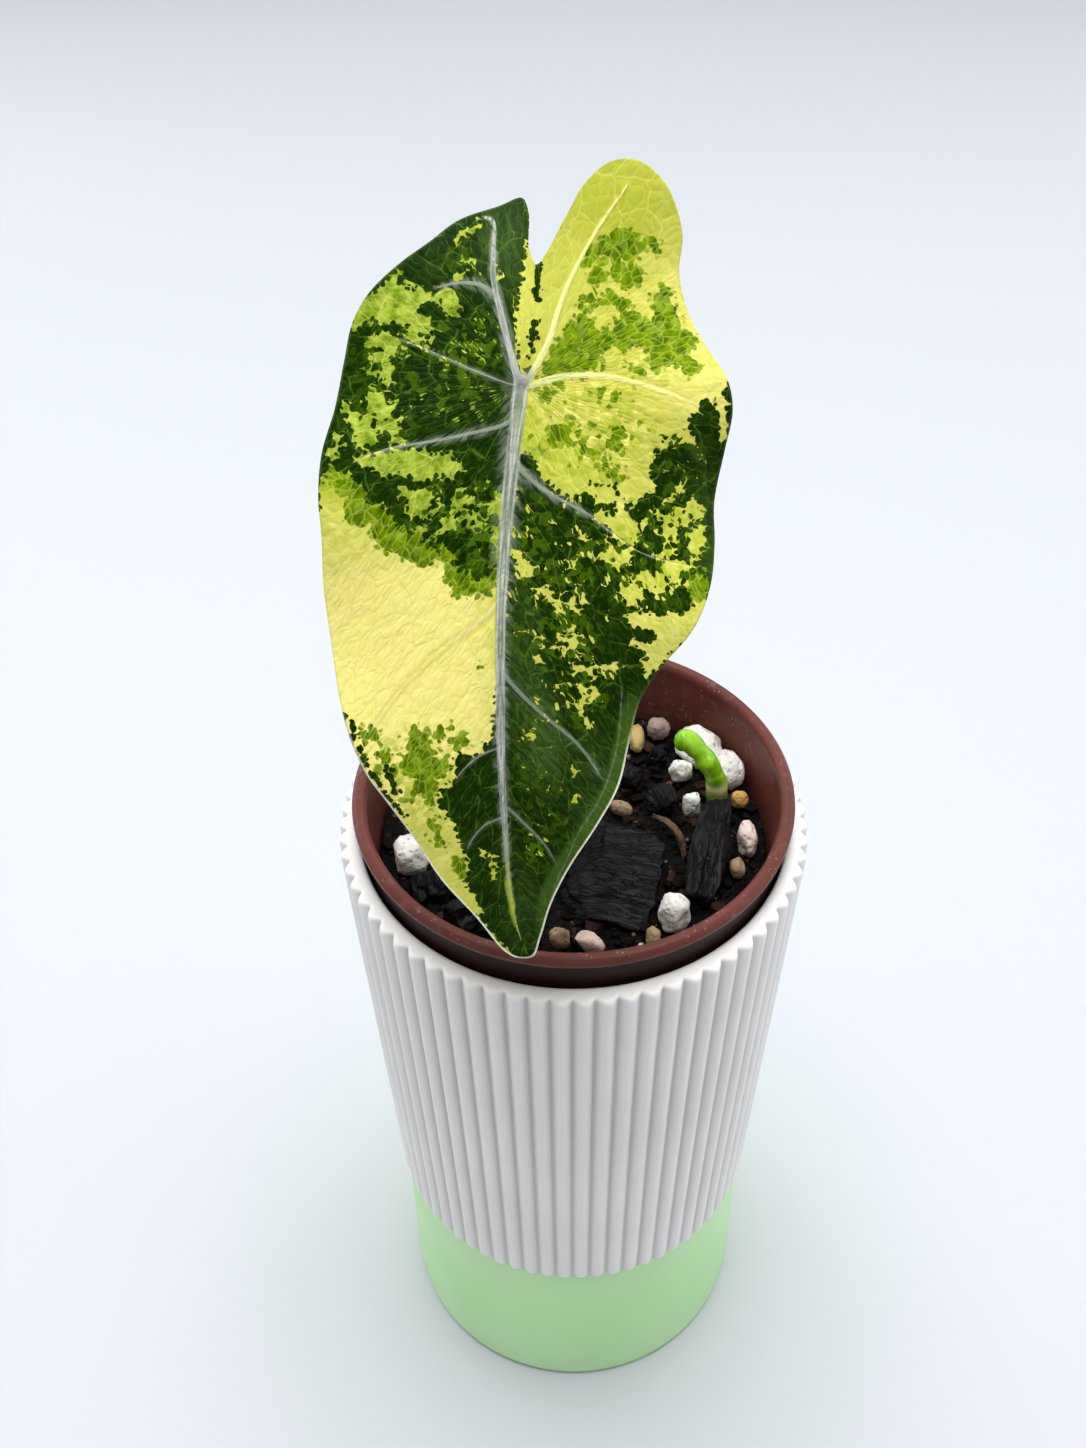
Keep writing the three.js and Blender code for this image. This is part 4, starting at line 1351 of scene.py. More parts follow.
@dataclass
class BarkSliver:
    """A sliver of bark that leans on the long charcoal."""

    line: tuple[Place, ...] = (
        (16.6, 0.9, 166.4), (19.6, -0.4, 165.6), (22, -2.8, 164), (22.8, -4.6, 162.2), (23, -6, 160.4),
    )

    def build(self) -> None:
        """Makes and dresses the sliver: a section of radius 0.35 + 0.4 sin(pi t) with frayed sides."""
        path = smooth_curve(self.line, 60)
        t = np.linspace(0, 1, 60)
        radius = 0.35 + 0.4 * np.sin(np.pi * np.clip(t, 0.06, 0.94))
        angle = np.arange(16) / 16 * 2 * np.pi
        frays = 1 + 0.16 * np.sin(3 * angle[None, :] + 9 * t[:, None])
        frays = frays + 0.08 * np.sin(7 * angle[None, :] - 31 * t[:, None])
        form = carried(path, radius[:, None] * frays, 16, (0, 0, 1))
        skin = Grit("bark", tone(96, 72, 48), tone(40, 28, 20), 1400, 0.85).build()
        stands_for(piece("bark_sliver", form, [skin]), "bark", "bark_strip")


# The plant


@dataclass
class Rootstock:
    """The swollen stem base on which the petiole stands, ringed by old leaf scars."""

    foot: Place = (-5.0, 4.0, 163.5)

    def build(self) -> None:
        """Makes and dresses it: a turned profile, its radius times 0.95 + 0.035 sin(5.2z) + 0.05 noise."""
        corners = [(0, -19, 0), (2.8, -19, 1), (5.2, -12, 3), (5.8, -6, 3), (5.5, -2.6, 2), (4.0, 0, 1), (0, 0, 0)]
        profile = rounded(corners, 9)
        form = turned(profile, 64)
        height = form.points[:, 2]
        noise = layered_noise(form.points, 3.0, 3, 12)
        swell = 1 + np.where(height < -0.2, 0.035 * np.sin(5.2 * height) + 0.05 * noise - 0.05, 0)
        form.points[:, :2] *= swell[:, None]
        form.points += np.array(self.foot)
        skin = Grit("rootstock", tone(122, 116, 62), tone(74, 56, 36), 1200, 0.7).build()
        stands_for(piece("root_crown", form, [skin]), "rootstock", "rootstock")


@dataclass
class Petiole:
    """The leaf stalk, from its sheath on the rootstock to the blade's own stub."""

    foot_radius: float = 3.4
    top_radius: float = 1.7
    share: float = 0.945
    line: tuple[Place, ...] = (
        (-5, 4, 162.5), (-5, 4, 175.5), (-5.2, 5, 208), (-6.4, 2, 243), (-7.9, -8, 268), (-8.3, -15, 278.5),
    )

    def path(self, count: int) -> Array:
        """The whole middle line at even distances.

        Args:
            count: How many points.

        Returns:
            The points, shape (count, 3).
        """
        fine = smooth_curve(self.line, 800)
        run = np.concatenate([[0], np.cumsum(np.linalg.norm(np.diff(fine, axis=0), axis=1))])
        at = np.linspace(0, run[-1], count)
        return np.stack([np.interp(at, run, fine[:, k]) for k in range(3)], -1)

    def radius(self, t: Array) -> Array:
        """Radius at a share of the line: 1.7 + 1.7 (0.35 (1 - t) + 0.65 exp(-(t / 0.12)^2))."""
        sheath = np.exp(-((t / 0.12) ** 2))
        return self.top_radius + (self.foot_radius - self.top_radius) * (0.35 * (1 - t) + 0.65 * sheath)

    def build(self) -> None:
        """Makes and dresses the stalk, with a groove down its inner side in the sheath."""
        count = 240
        t = np.linspace(0, 1, count)
        keep = (t <= self.share - 0.003) & (self.path(count)[:, 2] > 163.5)
        path, t = self.path(count)[keep], t[keep]
        angle = np.arange(40) / 40 * 2 * np.pi
        groove = np.exp(-((np.mod(angle[None, :] - 2.0 + np.pi, 2 * np.pi) - np.pi) ** 2) / 0.16)
        radius = self.radius(t)[:, None] * (1 - 0.14 * groove * np.exp(-(t[:, None] / 0.3) ** 2))
        form = carried(path, radius, 40, (1, 0, 0))
        low = form.points[:, 2] < 163.9
        form.points[low, 2] = np.maximum(form.points[low, 2], 163.5)
        skin = GreenStalk("stalk", tone(112, 146, 62), tone(150, 178, 96), tone(196, 200, 140)).build()
        patch = np.zeros(len(form.points))
        stands_for(piece("leaf_stalk", form, [skin], {"patch": patch}), "stem", "petiole")


@dataclass
class NewShoot:
    """The bright young shoot behind the long charcoal: a curved spear with a swollen joint."""

    line: tuple[Place, ...] = (
        (31.1, 9.3, 157), (31, 9.3, 163), (30.7, 9.2, 167), (29.6, 9.6, 170.5),
        (27.6, 10.8, 173.8), (24.6, 12, 176.6), (21.6, 12, 177.7),
    )

    def build(self) -> None:
        """Makes and dresses it.

        The radius is 2.15 + 0.1t, with a swelling at t = 0.6 between two waists, and rounds off at the end.
        """
        count = 120
        path = smooth_curve(self.line, count)
        t = np.linspace(0, 1, count)
        waists = np.exp(-(((t - 0.7) / 0.035) ** 2)) + np.exp(-(((t - 0.48) / 0.03) ** 2))
        joint = 0.3 * np.exp(-(((t - 0.6) / 0.06) ** 2)) - 0.2 * waists
        tip = np.sqrt(np.maximum(1 - np.maximum((t - 0.9) / 0.1, 0) ** 2, 0.004))
        angle = np.arange(36) / 36 * 2 * np.pi
        lumps = 1 + 0.06 * np.sin(2 * angle[None, :] + 7 * t[:, None])
        lumps = lumps + 0.045 * np.sin(3 * angle[None, :] - 19 * t[:, None])
        lumps = lumps + 0.03 * np.sin(41 * t[:, None] + 2 * np.sin(angle[None, :]))
        form = carried(path, ((2.15 + 0.1 * t + joint) * tip)[:, None] * lumps, 36, (0, 1, 0))
        spot = np.exp(-((form.points[:, 2] - 166.3) / 1.7) ** 2) * ease(-form.points[:, 1], -9.6, -8.4)
        skin = GreenStalk("shoot", tone(104, 166, 4), tone(142, 196, 20), tone(236, 236, 168), 0.3).build()
        stands_for(piece("young_shoot", form, [skin], {"patch": spot}), "shoot", "new_shoot")


@dataclass(frozen=True)
class Vein:
    """A vein of the blade: its line as (across, along), half width as drawn, and radius below."""

    line: Flat
    half: tuple[float, float]
    below: tuple[float, float]
    main: bool = False


@dataclass
class LeafMarkings:
    """Where the blade is dark, mid green, lime or cream. An outline is its corners' across, along in turn."""

    dark: tuple[Outline, ...] = (
        (0, -2, -0.4, -4, -0.8, -8, -0.6, -12, 0.2, -15, 0.6, -18, 1, -21, 1.6, -23, 2, -31, -12, -30, -30, -16, -36, 5,
         -34, 18, -31.6, 18.6, -30.8, 14.6, -30, 12.8, -29.2, 11.6, -28.4, 12.8, -27.6, 12.4, -27, 13.2, -26, 13,
         -25.6, 13.8, -24.6, 14.2, -24, 15.8, -23.4, 17.2, -22, 17.4, -20.4, 18.8, -19.4, 20.2, -17.6, 21.4,
         -16.4, 21.2, -15, 20.6, -14.8, 23, -13.4, 24.8, -11.6, 24.6, -10.8, 25.6, -11, 27, -9.4, 28, -8.4, 27.9,
         -7.6, 29.4, -6, 28.6, -4.6, 26.6, -4.1, 23, -3, 18, -2.2, 12, -1.4, 7, -0.6, 2),
        (2.4, -18.4, 3.2, -18, 3, -15, 3, -12.6, 2.2, -12.4, 2.1, -15, 2.5, -17),
        (1.7, -9.4, 2.5, -9.4, 2.4, -7, 1.8, -5, 1.6, -2.4, 0.9, -1.4, 1.1, -3, 1.4, -5.6, 1.4, -8),
        (0.8, 10.4, 1.8, 11.6, 2.9, 14.2, 5, 15.6, 7.6, 17.2, 8.6, 16, 10, 15, 12.4, 15, 14.8, 15.4, 15.2, 18, 17.4, 18,
         18.6, 16.8, 19.8, 15.8, 19.4, 12.8, 19.8, 11.4, 20.4, 10, 21.6, 9.8, 22.4, 8.6, 21, 8.1, 23.4, 7.6, 24.6, 7,
         26, 5, 27.2, 4.4, 27.1, 2.9, 28, 2.7, 29.4, 3.2, 29.4, 4.4, 30.2, 5.4, 30.2, 9.4, 31, 8, 31.2, 5.6, 31, 0.6,
         36, 0, 36, 34, 28.3, 33, 28.4, 31, 27.8, 29.4, 26.6, 28.2, 25.6, 29, 25.2, 31.4, 25.6, 33.6, 24.6, 35, 22, 35,
         20.2, 35.3, 19, 34.6, 17, 34.4, 15.2, 35, 15.8, 36.2, 17.6, 37, 18.6, 36.8, 20.2, 38, 19.6, 39.4, 17.3, 39,
         15.8, 39.9, 17.9, 40.3, 18.8, 41.4, 17.9, 43, 18.4, 44.9, 20.6, 43.6, 22.4, 41.4, 25, 40, 24, 60, 8, 84, 2, 99,
         -3, 98, -4, 93, -5.8, 90.6, -7.4, 88, -9.1, 85.4, -8, 85, -9, 82.6, -9.8, 81, -10.4, 79.8, -10.6, 78,
         -10, 76.8, -10.4, 75.6, -10.2, 74, -11, 72.8, -11, 71.4, -11.8, 70, -12, 68.8, -13.4, 67.4, -13.2, 66.2,
         -14.4, 65, -14, 63.6, -13.8, 62.2, -12.6, 61.6, -11.6, 60.6, -12, 59, -11.6, 57.4, -10.6, 56.6, -9, 57,
         -7.4, 56.6, -6.8, 55.4, -5.8, 54.6, -5.4, 53, -5.4, 51, -4.6, 46, -4, 38, -3.4, 30, -2.4, 20, -0.4, 11),
        (-29.2, 49.6, -28.6, 50.4, -28.1, 53, -28, 55.6, -29, 54),
        (-27.8, 51.6, -27.1, 52.4, -27.3, 54.6, -27.9, 54.2),
        (-26.6, 55, -25.9, 55.2, -25.4, 57.4, -24, 60, -22.6, 63, -20.6, 65.4, -19.5, 66.7, -20.4, 66.5, -22.6, 64.2,
         -24.6, 61, -26.2, 58, -26.8, 56.4),
        (-22.8, 58.4, -22, 58.2, -21, 61, -20.6, 63.2, -21.4, 63, -22.2, 61),
    )
    light: tuple[Outline, ...] = (
        (-9.4, -22.4, -8.6, -23.2, -6.4, -24.4, -6.2, -25.6, -5.8, -25.4, -5.8, -24, -6.4, -22.9, -8, -22.4,
         -8.8, -21.6, -9.4, -21.7),
        (-26, -10, -25, -12, -23, -13.6, -20, -15.6, -17.6, -17.6, -18.4, -15.6, -16.5, -15, -14.5, -14.6, -14, -13,
         -14.8, -11, -13.4, -9.8, -13.8, -8.6, -15, -7.6, -13.4, -6.3, -15.5, -6.2, -17, -8.5, -19, -9.6, -20, -8.8,
         -22, -9.8, -24, -9.4, -25, -8.8),
        (-22, -8, -20.5, -8.4, -19, -7.6, -18.4, -5.8, -20, -5, -21.5, -5.6, -23, -6.2, -23.4, -7.2),
        (-14, -14, -12, -14.2, -10.5, -14.6, -9.8, -13, -9.6, -11, -11, -10.4, -11.6, -11.8, -13, -12.2),
        (-22.5, -5, -20.5, -5.2, -20, -3.4, -19.3, -1.2, -20.4, -0.4, -21, -2.4, -22.8, -2, -22, -3.6),
        (-23.2, 0.6, -21, 0.4, -19.8, 2.6, -18.8, 4.6, -18.6, 7.4, -17.6, 8.8, -19.6, 9, -20.2, 7, -21, 5.4, -22.6, 6,
         -22.2, 8.4, -23.6, 9, -25, 7, -26.4, 5, -27.2, 1.8, -25.8, 3.4, -24, 4.4, -23, 3),
        (-25, 10.7, -23, 10, -20, 9.6, -17, 9.2, -14, 9.7, -11.5, 10.1, -9, 11.8, -10, 12.7, -10.6, 13.7, -13, 13.5,
         -16, 13.9, -18.4, 13.2, -20.6, 13.4, -22, 12.3, -24, 12),
        (-18.5, 15, -16, 15.6, -14, 16.4, -12.8, 18, -14.6, 19, -14.4, 20.3, -16.5, 19.6, -18, 18.4, -17.3, 17,
         -18.6, 16.2),
        (-10.6, 17, -9.4, 16, -8, 16.2, -7.6, 17.6, -9, 18.5, -10.2, 18),
        (-9.1, 20, -7.6, 19.1, -6.4, 20, -7.4, 21.1, -9, 20.9),
        (-12.6, 20.1, -11.4, 20.4, -10.3, 21, -11.8, 21.7, -12.7, 21.2),
        (-5, 17.2, -3.6, 15.6, -2.7, 17, -3.2, 21, -3.9, 24.4, -4.6, 23, -4.2, 20),
        (-10.1, -16.9, -8.5, -17, -7.5, -16.4, -8.6, -15.8, -10, -15.9),
        (-3.4, -18.2, -2.9, -17.2, -2.6, -15.5, -3.3, -16.3),
        (-8.9, -19.1, -7.6, -18.4, -6.8, -18.4, -7.3, -17.8, -8.9, -18.5),
        (-29.6, 9.8, -28.6, 8.4, -28.4, 6.8, -27.6, 7.2, -27.2, 8, -28, 9.4, -29.2, 10.8),
        (-1.8, 25.2, -0.9, 24.8, 0.4, 26.3, 1.4, 28.2, -0.4, 29, -1.3, 28.6, -1.4, 26.8),
        (8.8, 15.8, 10, 15, 12.8, 15.4, 14.2, 16.4, 15, 17.2, 13.8, 17.9, 12.4, 17.5, 10.4, 16.9, 9, 16.3),
        (14.9, 14.6, 19.6, 14.6, 19.8, 16, 18.6, 16.8, 17.8, 18, 16, 17.4, 15.2, 18.4, 16.8, 19.6, 17.2, 20.6, 19, 20.8,
         18.2, 22, 17.4, 23.3, 15.6, 24, 13.4, 23.5, 12.4, 21.8, 11, 20.4, 11.2, 19.3, 13.4, 19.4, 14.4, 18.4,
         14.2, 17),
        (10.6, 25.6, 12, 24.9, 14, 24.9, 16.1, 25, 16.3, 26.5, 15.4, 27.4, 14, 27.1, 12.6, 26.5, 11.6, 26),
        (19.9, 26.4, 21.6, 25, 22, 24.1, 22.7, 24.4, 22.5, 26, 20.6, 26.9),
        (21, 27, 23.6, 26.7, 24.7, 27.4, 24.5, 29, 23.4, 30.1, 22, 29.7, 22.6, 28.4, 21, 28.1),
        (17.5, 28.5, 20, 28.6, 22.1, 30, 21.4, 31.7, 19.6, 31.7, 18.6, 30.4, 16.7, 29.6),
        (14.3, 30.6, 15.6, 29.9, 17, 30.5, 18.1, 31.4, 17.6, 32.5, 15.6, 33, 14.5, 31.9),
        (25.2, 18.2, 26.2, 17.6, 27.1, 18, 27.7, 19, 27.1, 20.9, 26.2, 20.7, 25.4, 19.4),
        (20.1, 19.9, 21, 19.4, 25, 20, 25.7, 21, 24.2, 21.3, 22.6, 20.5),
        (22, 21.5, 23.7, 22, 23.3, 23.9, 22.1, 23.4),
        (25.5, 22.6, 27, 22.3, 28.1, 23.4, 28.1, 25.3, 26.2, 26.6, 25.2, 25, 25.3, 23.6),
        (23.3, 16.8, 24.1, 15.5, 24.8, 16.1, 24.1, 17.1),
        (24, 7.5, 25.8, 7.7, 25.7, 9.1, 24.5, 9.2),
        (6, 26.9, 7.2, 26.5, 8.1, 27, 6.8, 27.8),
        (8, 22.1, 9.2, 22.4, 9.6, 23.3, 8.6, 22.9),
        (1, 31, 2.6, 30.9, 3.6, 30.5, 4.1, 31.2, 2.6, 31.7),
        (3.1, 32, 4.6, 32.6, 5.5, 34.1, 4.6, 33.9, 3.4, 32.9),
        (5.6, 31.5, 7.4, 31.9, 9.2, 32.6, 9.9, 33, 8.6, 33.4, 7, 32.7),
        (6.6, 33.3, 7.8, 33.5, 8.8, 34, 7.6, 34.3),
        (6.4, 37, 7.3, 36.7, 6.8, 37.7, 5.6, 38.4, 5, 39.5, 5.1, 38.1),
        (1.4, 38.3, 3, 38.7, 5, 39.5, 6.1, 40, 4.6, 40.1, 2.4, 39.3, 1.5, 39.1),
        (6.4, 38.3, 8.6, 38.7, 8.9, 39.6, 7.6, 40, 6.4, 39.3),
        (1.4, 41.8, 2.4, 41.3, 2.7, 42.2, 1.6, 42.5),
        (7.2, 42.8, 8.4, 42.5, 8.9, 43.3, 7.4, 43.6),
        (10, 42.9, 12.8, 42.8, 14.9, 42.7, 14.2, 43.4, 11.6, 43.6, 10.4, 43.6, 10.9, 44.7, 9.8, 44.7, 9.5, 43.8),
        (8.4, 46, 9.2, 46.6, 9.6, 48.8, 8.8, 49.2, 9.2, 51, 9.9, 52.1, 9, 51.7, 8.1, 50, 8.4, 48.4),
        (9.6, 45.5, 10.6, 45.8, 11.2, 47.6, 10.4, 47.9, 9.9, 46.8),
        (-0.4, 54, 1, 52.7, 1.3, 54.4, 0, 54.8),
        (6.7, 59, 7.5, 59.3, 7.3, 60.6, 6.7, 60),
        (6.5, 64.6, 7.8, 64.1, 7.7, 65.3),
        (2.3, 61.5, 3.1, 62, 2.6, 62.6),
        (-6.4, 75.8, -5.7, 75.1, -5.3, 77, -5.6, 78.8, -6.5, 79, -6.1, 77.4),
        (-8.1, 73.6, -7.4, 73.5, -7.4, 74.6, -8, 74.3),
    )
    mid: tuple[Outline, ...] = (
        (-30, 12.4, -28.6, 14.6, -28, 15.6, -26.6, 17, -27, 19.2, -26, 20.4, -23.4, 20.8, -22.8, 22.6, -21.4, 24.6,
         -19.2, 24.8, -18.2, 25.8, -15.6, 26.8, -14, 26.4, -11.6, 26.6, -12.2, 29, -11.2, 29.6, -10.6, 31.8, -8.4, 31.4,
         -6.8, 31.9, -5.4, 31.4, -4.1, 29, -4, 25, -9, 25, -14, 22, -20, 19, -25, 14, -29.4, 11),
        (9.4, -17.6, 9.8, -18.8, 10.6, -20, 12, -20.8, 13, -21.6, 14.5, -22.5, 16.5, -22.4, 18, -21.4, 19, -20.2,
         18.2, -19.4, 17.8, -18.6, 16.8, -17.8, 15.4, -18.2, 15, -17, 14, -18.2, 12.8, -18.8, 11.4, -18, 10.4, -17.6),
        (18.6, -21.4, 20, -21.6, 21.2, -21, 20.8, -19.4, 19.8, -19.6, 19.6, -20.6),
        (14.2, -17.2, 15.6, -17.6, 17, -17, 18.4, -16.8, 18.4, -15.2, 17.2, -14.2, 16, -14, 15, -15, 14, -15.4),
        (10.8, -16.4, 12, -16.8, 13.2, -16, 13, -15, 11.4, -14.6, 10.6, -15),
        (8.6, -12.2, 10, -12.8, 12, -13, 13, -13.6, 14.6, -13, 16, -12.2, 16.6, -11.4, 16, -10.8, 15.2, -10.6,
         14.2, -11.6, 13, -12, 11.6, -11.6, 11, -10.6, 9.8, -10.4, 10.6, -11.6, 9, -11.6),
        (3.2, -0.8, 3.2, -2.4, 3.8, -3.8, 5, -5.6, 6.4, -7, 7.6, -9, 9, -10, 10.6, -9.4, 12, -8, 14, -8, 14.6, -9.2,
         15.6, -10, 17, -11, 18, -10, 19.4, -8.6, 20, -9.6, 20, -12, 19.6, -13, 20.8, -13.6, 21.6, -14.8, 22.6, -14,
         23.2, -12, 24.4, -9.6, 25, -8, 26.2, -7, 26.4, -5.4, 25, -5.2, 25, -4.2, 26.4, -3.4, 27, -1.8, 26.2, -1.8,
         25, -1, 24, -2.2, 22, -2.6, 21, -1.8, 20, -1.4, 19.4, -3, 19, -5, 17.6, -5.6, 16.8, -5.6, 15.4, -4.2,
         14.8, -5.2, 12.4, -4.6, 12, -3, 11, -1.8, 9, -1.4, 7, -0.7, 5, -0.5),
        (16.4, -2.2, 17.4, -2.4, 18.8, -1.6, 18.4, -1.1, 17, -1.5),
        (4, 6, 5, 5.3, 7, 5.5, 8.5, 6.6, 7.4, 7.3, 6.6, 8.8, 5.2, 8.6, 4.5, 7.4),
        (11.6, 8.6, 14, 7.7, 15.1, 8, 15.1, 9.8, 13.6, 10.1, 12, 9.6),
        (8.1, 9.6, 10.4, 9.1, 10.3, 10, 8.6, 10.1),
        (13.5, 2.2, 14.8, 1.7, 15, 2.8, 13.8, 3),
        (2, 0.6, 4, 0.6, 5.6, 0.9, 4.6, 2, 3.8, 2.7, 2.2, 2),
        (12, 12.6, 14.4, 12.4, 15.6, 13.8, 13.8, 14.6, 12.2, 13.8),
        (-19.6, 55.4, -19, 52.6, -17.6, 52, -16.4, 52.8, -15.4, 52.2, -15.6, 54, -14.8, 56, -14.6, 57.6, -13, 57,
         -12.8, 59, -13.2, 60.4, -14.4, 61, -14.6, 63, -16, 64.6, -17.6, 64, -18, 62.6, -17.6, 61, -18.8, 59.6,
         -19.6, 58),
        (-26, 52, -25.2, 51.4, -24, 52.4, -24, 54, -25, 54.6, -26, 54.2),
        (-25, 56, -23.6, 55.4, -22.6, 56, -21.4, 57, -22, 58.4, -23.6, 58.4, -24.8, 57.4),
        (-12.4, 74.8, -11, 74.4, -10.4, 76, -10.8, 79, -11.4, 78, -12.2, 76.6),
        (-14.2, 53.4, -13, 52, -12.4, 53, -13.4, 54.2),
        (-12, 54.6, -10.2, 54, -9.4, 55, -11, 56),
        (-16, 67, -15.2, 67, -14.4, 69.6, -13.6, 72.4, -14.6, 72.6, -15.4, 70),
        (25.4, 29, 26.6, 28, 28.4, 27.4, 29.2, 29.6, 28.4, 32.8, 26.4, 33, 25.1, 34, 25, 31.4),
    )
    streak: tuple[Outline, ...] = (
        (-4.4, 79.2, -3.2, 79, -2.8, 82, -2.4, 84.8, -2.9, 86, -2.4, 88.5, -1.5, 90.6, -2.4, 90, -3.6, 87, -4, 84),
    )
    dark_mixing: Zones = (
        (-17, -8, 9, 7, 0.9), (-7.5, -6, 5, 4, 0.8), (-23, 5, 5, 7, 1.0), (-10, 20, 8, 7, 1.0), (19, 23, 11, 10, 0.6),
        (5, 32, 8, 14, 0.25),
    )
    mid_mixing: Zones = (
        (10, 6, 10, 8, 2.1), (-22, 59, 5, 6, 1.8), (-6, 43, 3, 4, 1.0), (-12, 53, 4, 3, 1.4), (-16, 66, 4, 6, 1.2),
        (12, -15, 6, 4, 0.4),
    )
    worms: Zones = (
        (4, 30, 8, 16, 0.8), (-8, -6, 7, 5, 1.0), (-9, 2, 8, 4, 0.8), (-9, 21, 9, 7, 1.0), (24, 13, 5, 6, 0.6),
        (19, 26, 9, 9, 0.8), (8, 46, 6, 7, 0.9), (1, 62, 5, 15, 0.42), (1.2, 74, 2, 2.8, 0.9),
        (-5.6, 77, 1.4, 2.6, 0.7), (-7, -19, 5, 4, 0.45), (-20, -4, 6, 14, 0.6),
    )
    mottles: Zones = (
        (10, 7, 11, 8, 1.0), (14, -6, 12, 8, 0.5), (-19, -9, 8, 8, 0.55), (-17, 12, 10, 6, 0.5), (-19, 60, 8, 9, 0.7),
        (19, 24, 9, 9, 0.7),
    )
    warmth: Zones = (
        (15, -28, 10, 6, 0.08), (24, -12, 3.4, 12, 0.72), (27, 0, 5, 5, 0.82), (18, -16, 3, 3, 0.6),
        (8, -13, 3, 7, 0.5), (5, -20, 3, 5, 0.25), (10, 7, 10, 6, 0.34), (18, 13, 4, 4, 0.5), (-26, 22, 6, 5, 0.62),
        (-20, 36, 14, 9, 0.95), (-14, 50, 12, 8, 0.95), (-14, 66, 8, 8, 0.62), (-14, 76, 4, 8, 0.62),
        (20, 42, 7, 6, 0.66), (-18, -8, 9, 9, -0.5), (-16, 10, 14, 6, -0.5), (-9, 20, 6, 4, -0.4),
        (-24, 2, 5, 6, -0.45), (-8, -22, 3, 3, -0.2), (-6, -5, 5, 6, -0.3), (-5, 4, 4, 4, -0.3), (-4, 20, 1.6, 5, -0.6),
        (1, -12, 3, 10, 0.58), (3, 32, 7, 14, 0.45), (22, 24, 6, 5, 0.25), (0, 72, 6, 20, 0.1),
    )
    # Where a painted grey-green sheen lies on the dark green beside the midrib.
    silver_haze_and_painted_sheen: Zones = (
        (3, 55, 3, 9, 0.8), (0, 45, 3, 16, 0.5), (10, 62, 4, 10, 0.4), (27, 22, 3, 12, 0.35), (-2, 84, 3, 8, 0.4),
        (-2, -21, 4, 8, 0.6),
    )

    def cover(self, plan: Array, outlines: tuple[Outline, ...], limit: float = 1.4) -> Array:
        """How far points are inside any of some outlines, as the largest signed distance.

        Args:
            plan: Places as (across, along), shape (n, 2).
            outlines: Closed outlines, smoothed before use.
            limit: Distances are cut off at this size.

        Returns:
            The distances, shape (n,).
        """
        best = np.full(len(plan), -limit)
        for outline in outlines:
            line = smooth_curve(np.reshape(outline, (-1, 2)), 3 * len(outline), True)
            close = ((plan > line.min(0) - limit) & (plan < line.max(0) + limit)).all(1)
            best[close] = np.maximum(best[close], inside(plan[close], line))
        return np.clip(best, -limit, limit)

    def sum_of(self, plan: Array, zones: Zones) -> Array:
        """Zones added up, each amount * exp(-d^4) with d the distance in units of the zone's half sizes.

        Args:
            plan: Places as (across, along), shape (n, 2).
            zones: Zones as (across, along, half width, half length, amount).

        Returns:
            The sums, shape (n,).
        """
        parts = [
            amount * np.exp(-((((plan[:, 0] - x) / rx) ** 2 + ((plan[:, 1] - s) / rs) ** 2) ** 2))
            for x, s, rx, rs, amount in zones
        ]
        return np.sum(parts, axis=0)

    def warm(self, plan: Array) -> Array:
        """From lime at 0 to cream at 1: the zones' values averaged, each weighing exp(-d^2), and 0.4 elsewhere.

        Args:
            plan: Places as (across, along), shape (n, 2).

        Returns:
            The values, shape (n,).
        """
        total, weight = np.full(len(plan), 0.4 * 0.05), np.full(len(plan), 0.05)
        for x, s, rx, rs, value in self.warmth:
            w = np.exp(-(((plan[:, 0] - x) / rx) ** 2 + ((plan[:, 1] - s) / rs) ** 2))
            total, weight = total + w * value, weight + w
        return total / weight

    def fields(self, plan: Array) -> dict[str, Array]:
        """The numbers that the leaf's material reads.

        Args:
            plan: Places as (across, along), shape (n, 2).

        Returns:
            By name: ground, which is dark, mid and warm; mixing, which is the mixing of dark and of mid,
            and the painted sheen; and fleck, which is worms, mottles and the streak.
        """
        dark = np.minimum(self.cover(plan, self.dark), -self.cover(plan, self.light))
        ground = np.stack([dark, self.cover(plan, self.mid), self.warm(plan)], -1)
        kinds = (self.dark_mixing, self.mid_mixing, self.silver_haze_and_painted_sheen, self.worms, self.mottles)
        dark_mixing, mid_mixing, silver_haze_and_painted_sheen, worms, mottles = (self.sum_of(plan, zones) for zones in kinds)
        mixing = np.stack([0.3 + dark_mixing, 0.35 + mid_mixing, silver_haze_and_painted_sheen], -1)
        fleck = np.stack([worms, mottles, self.cover(plan, self.streak)], -1)
        return {"ground": ground, "mixing": mixing, "fleck": fleck}


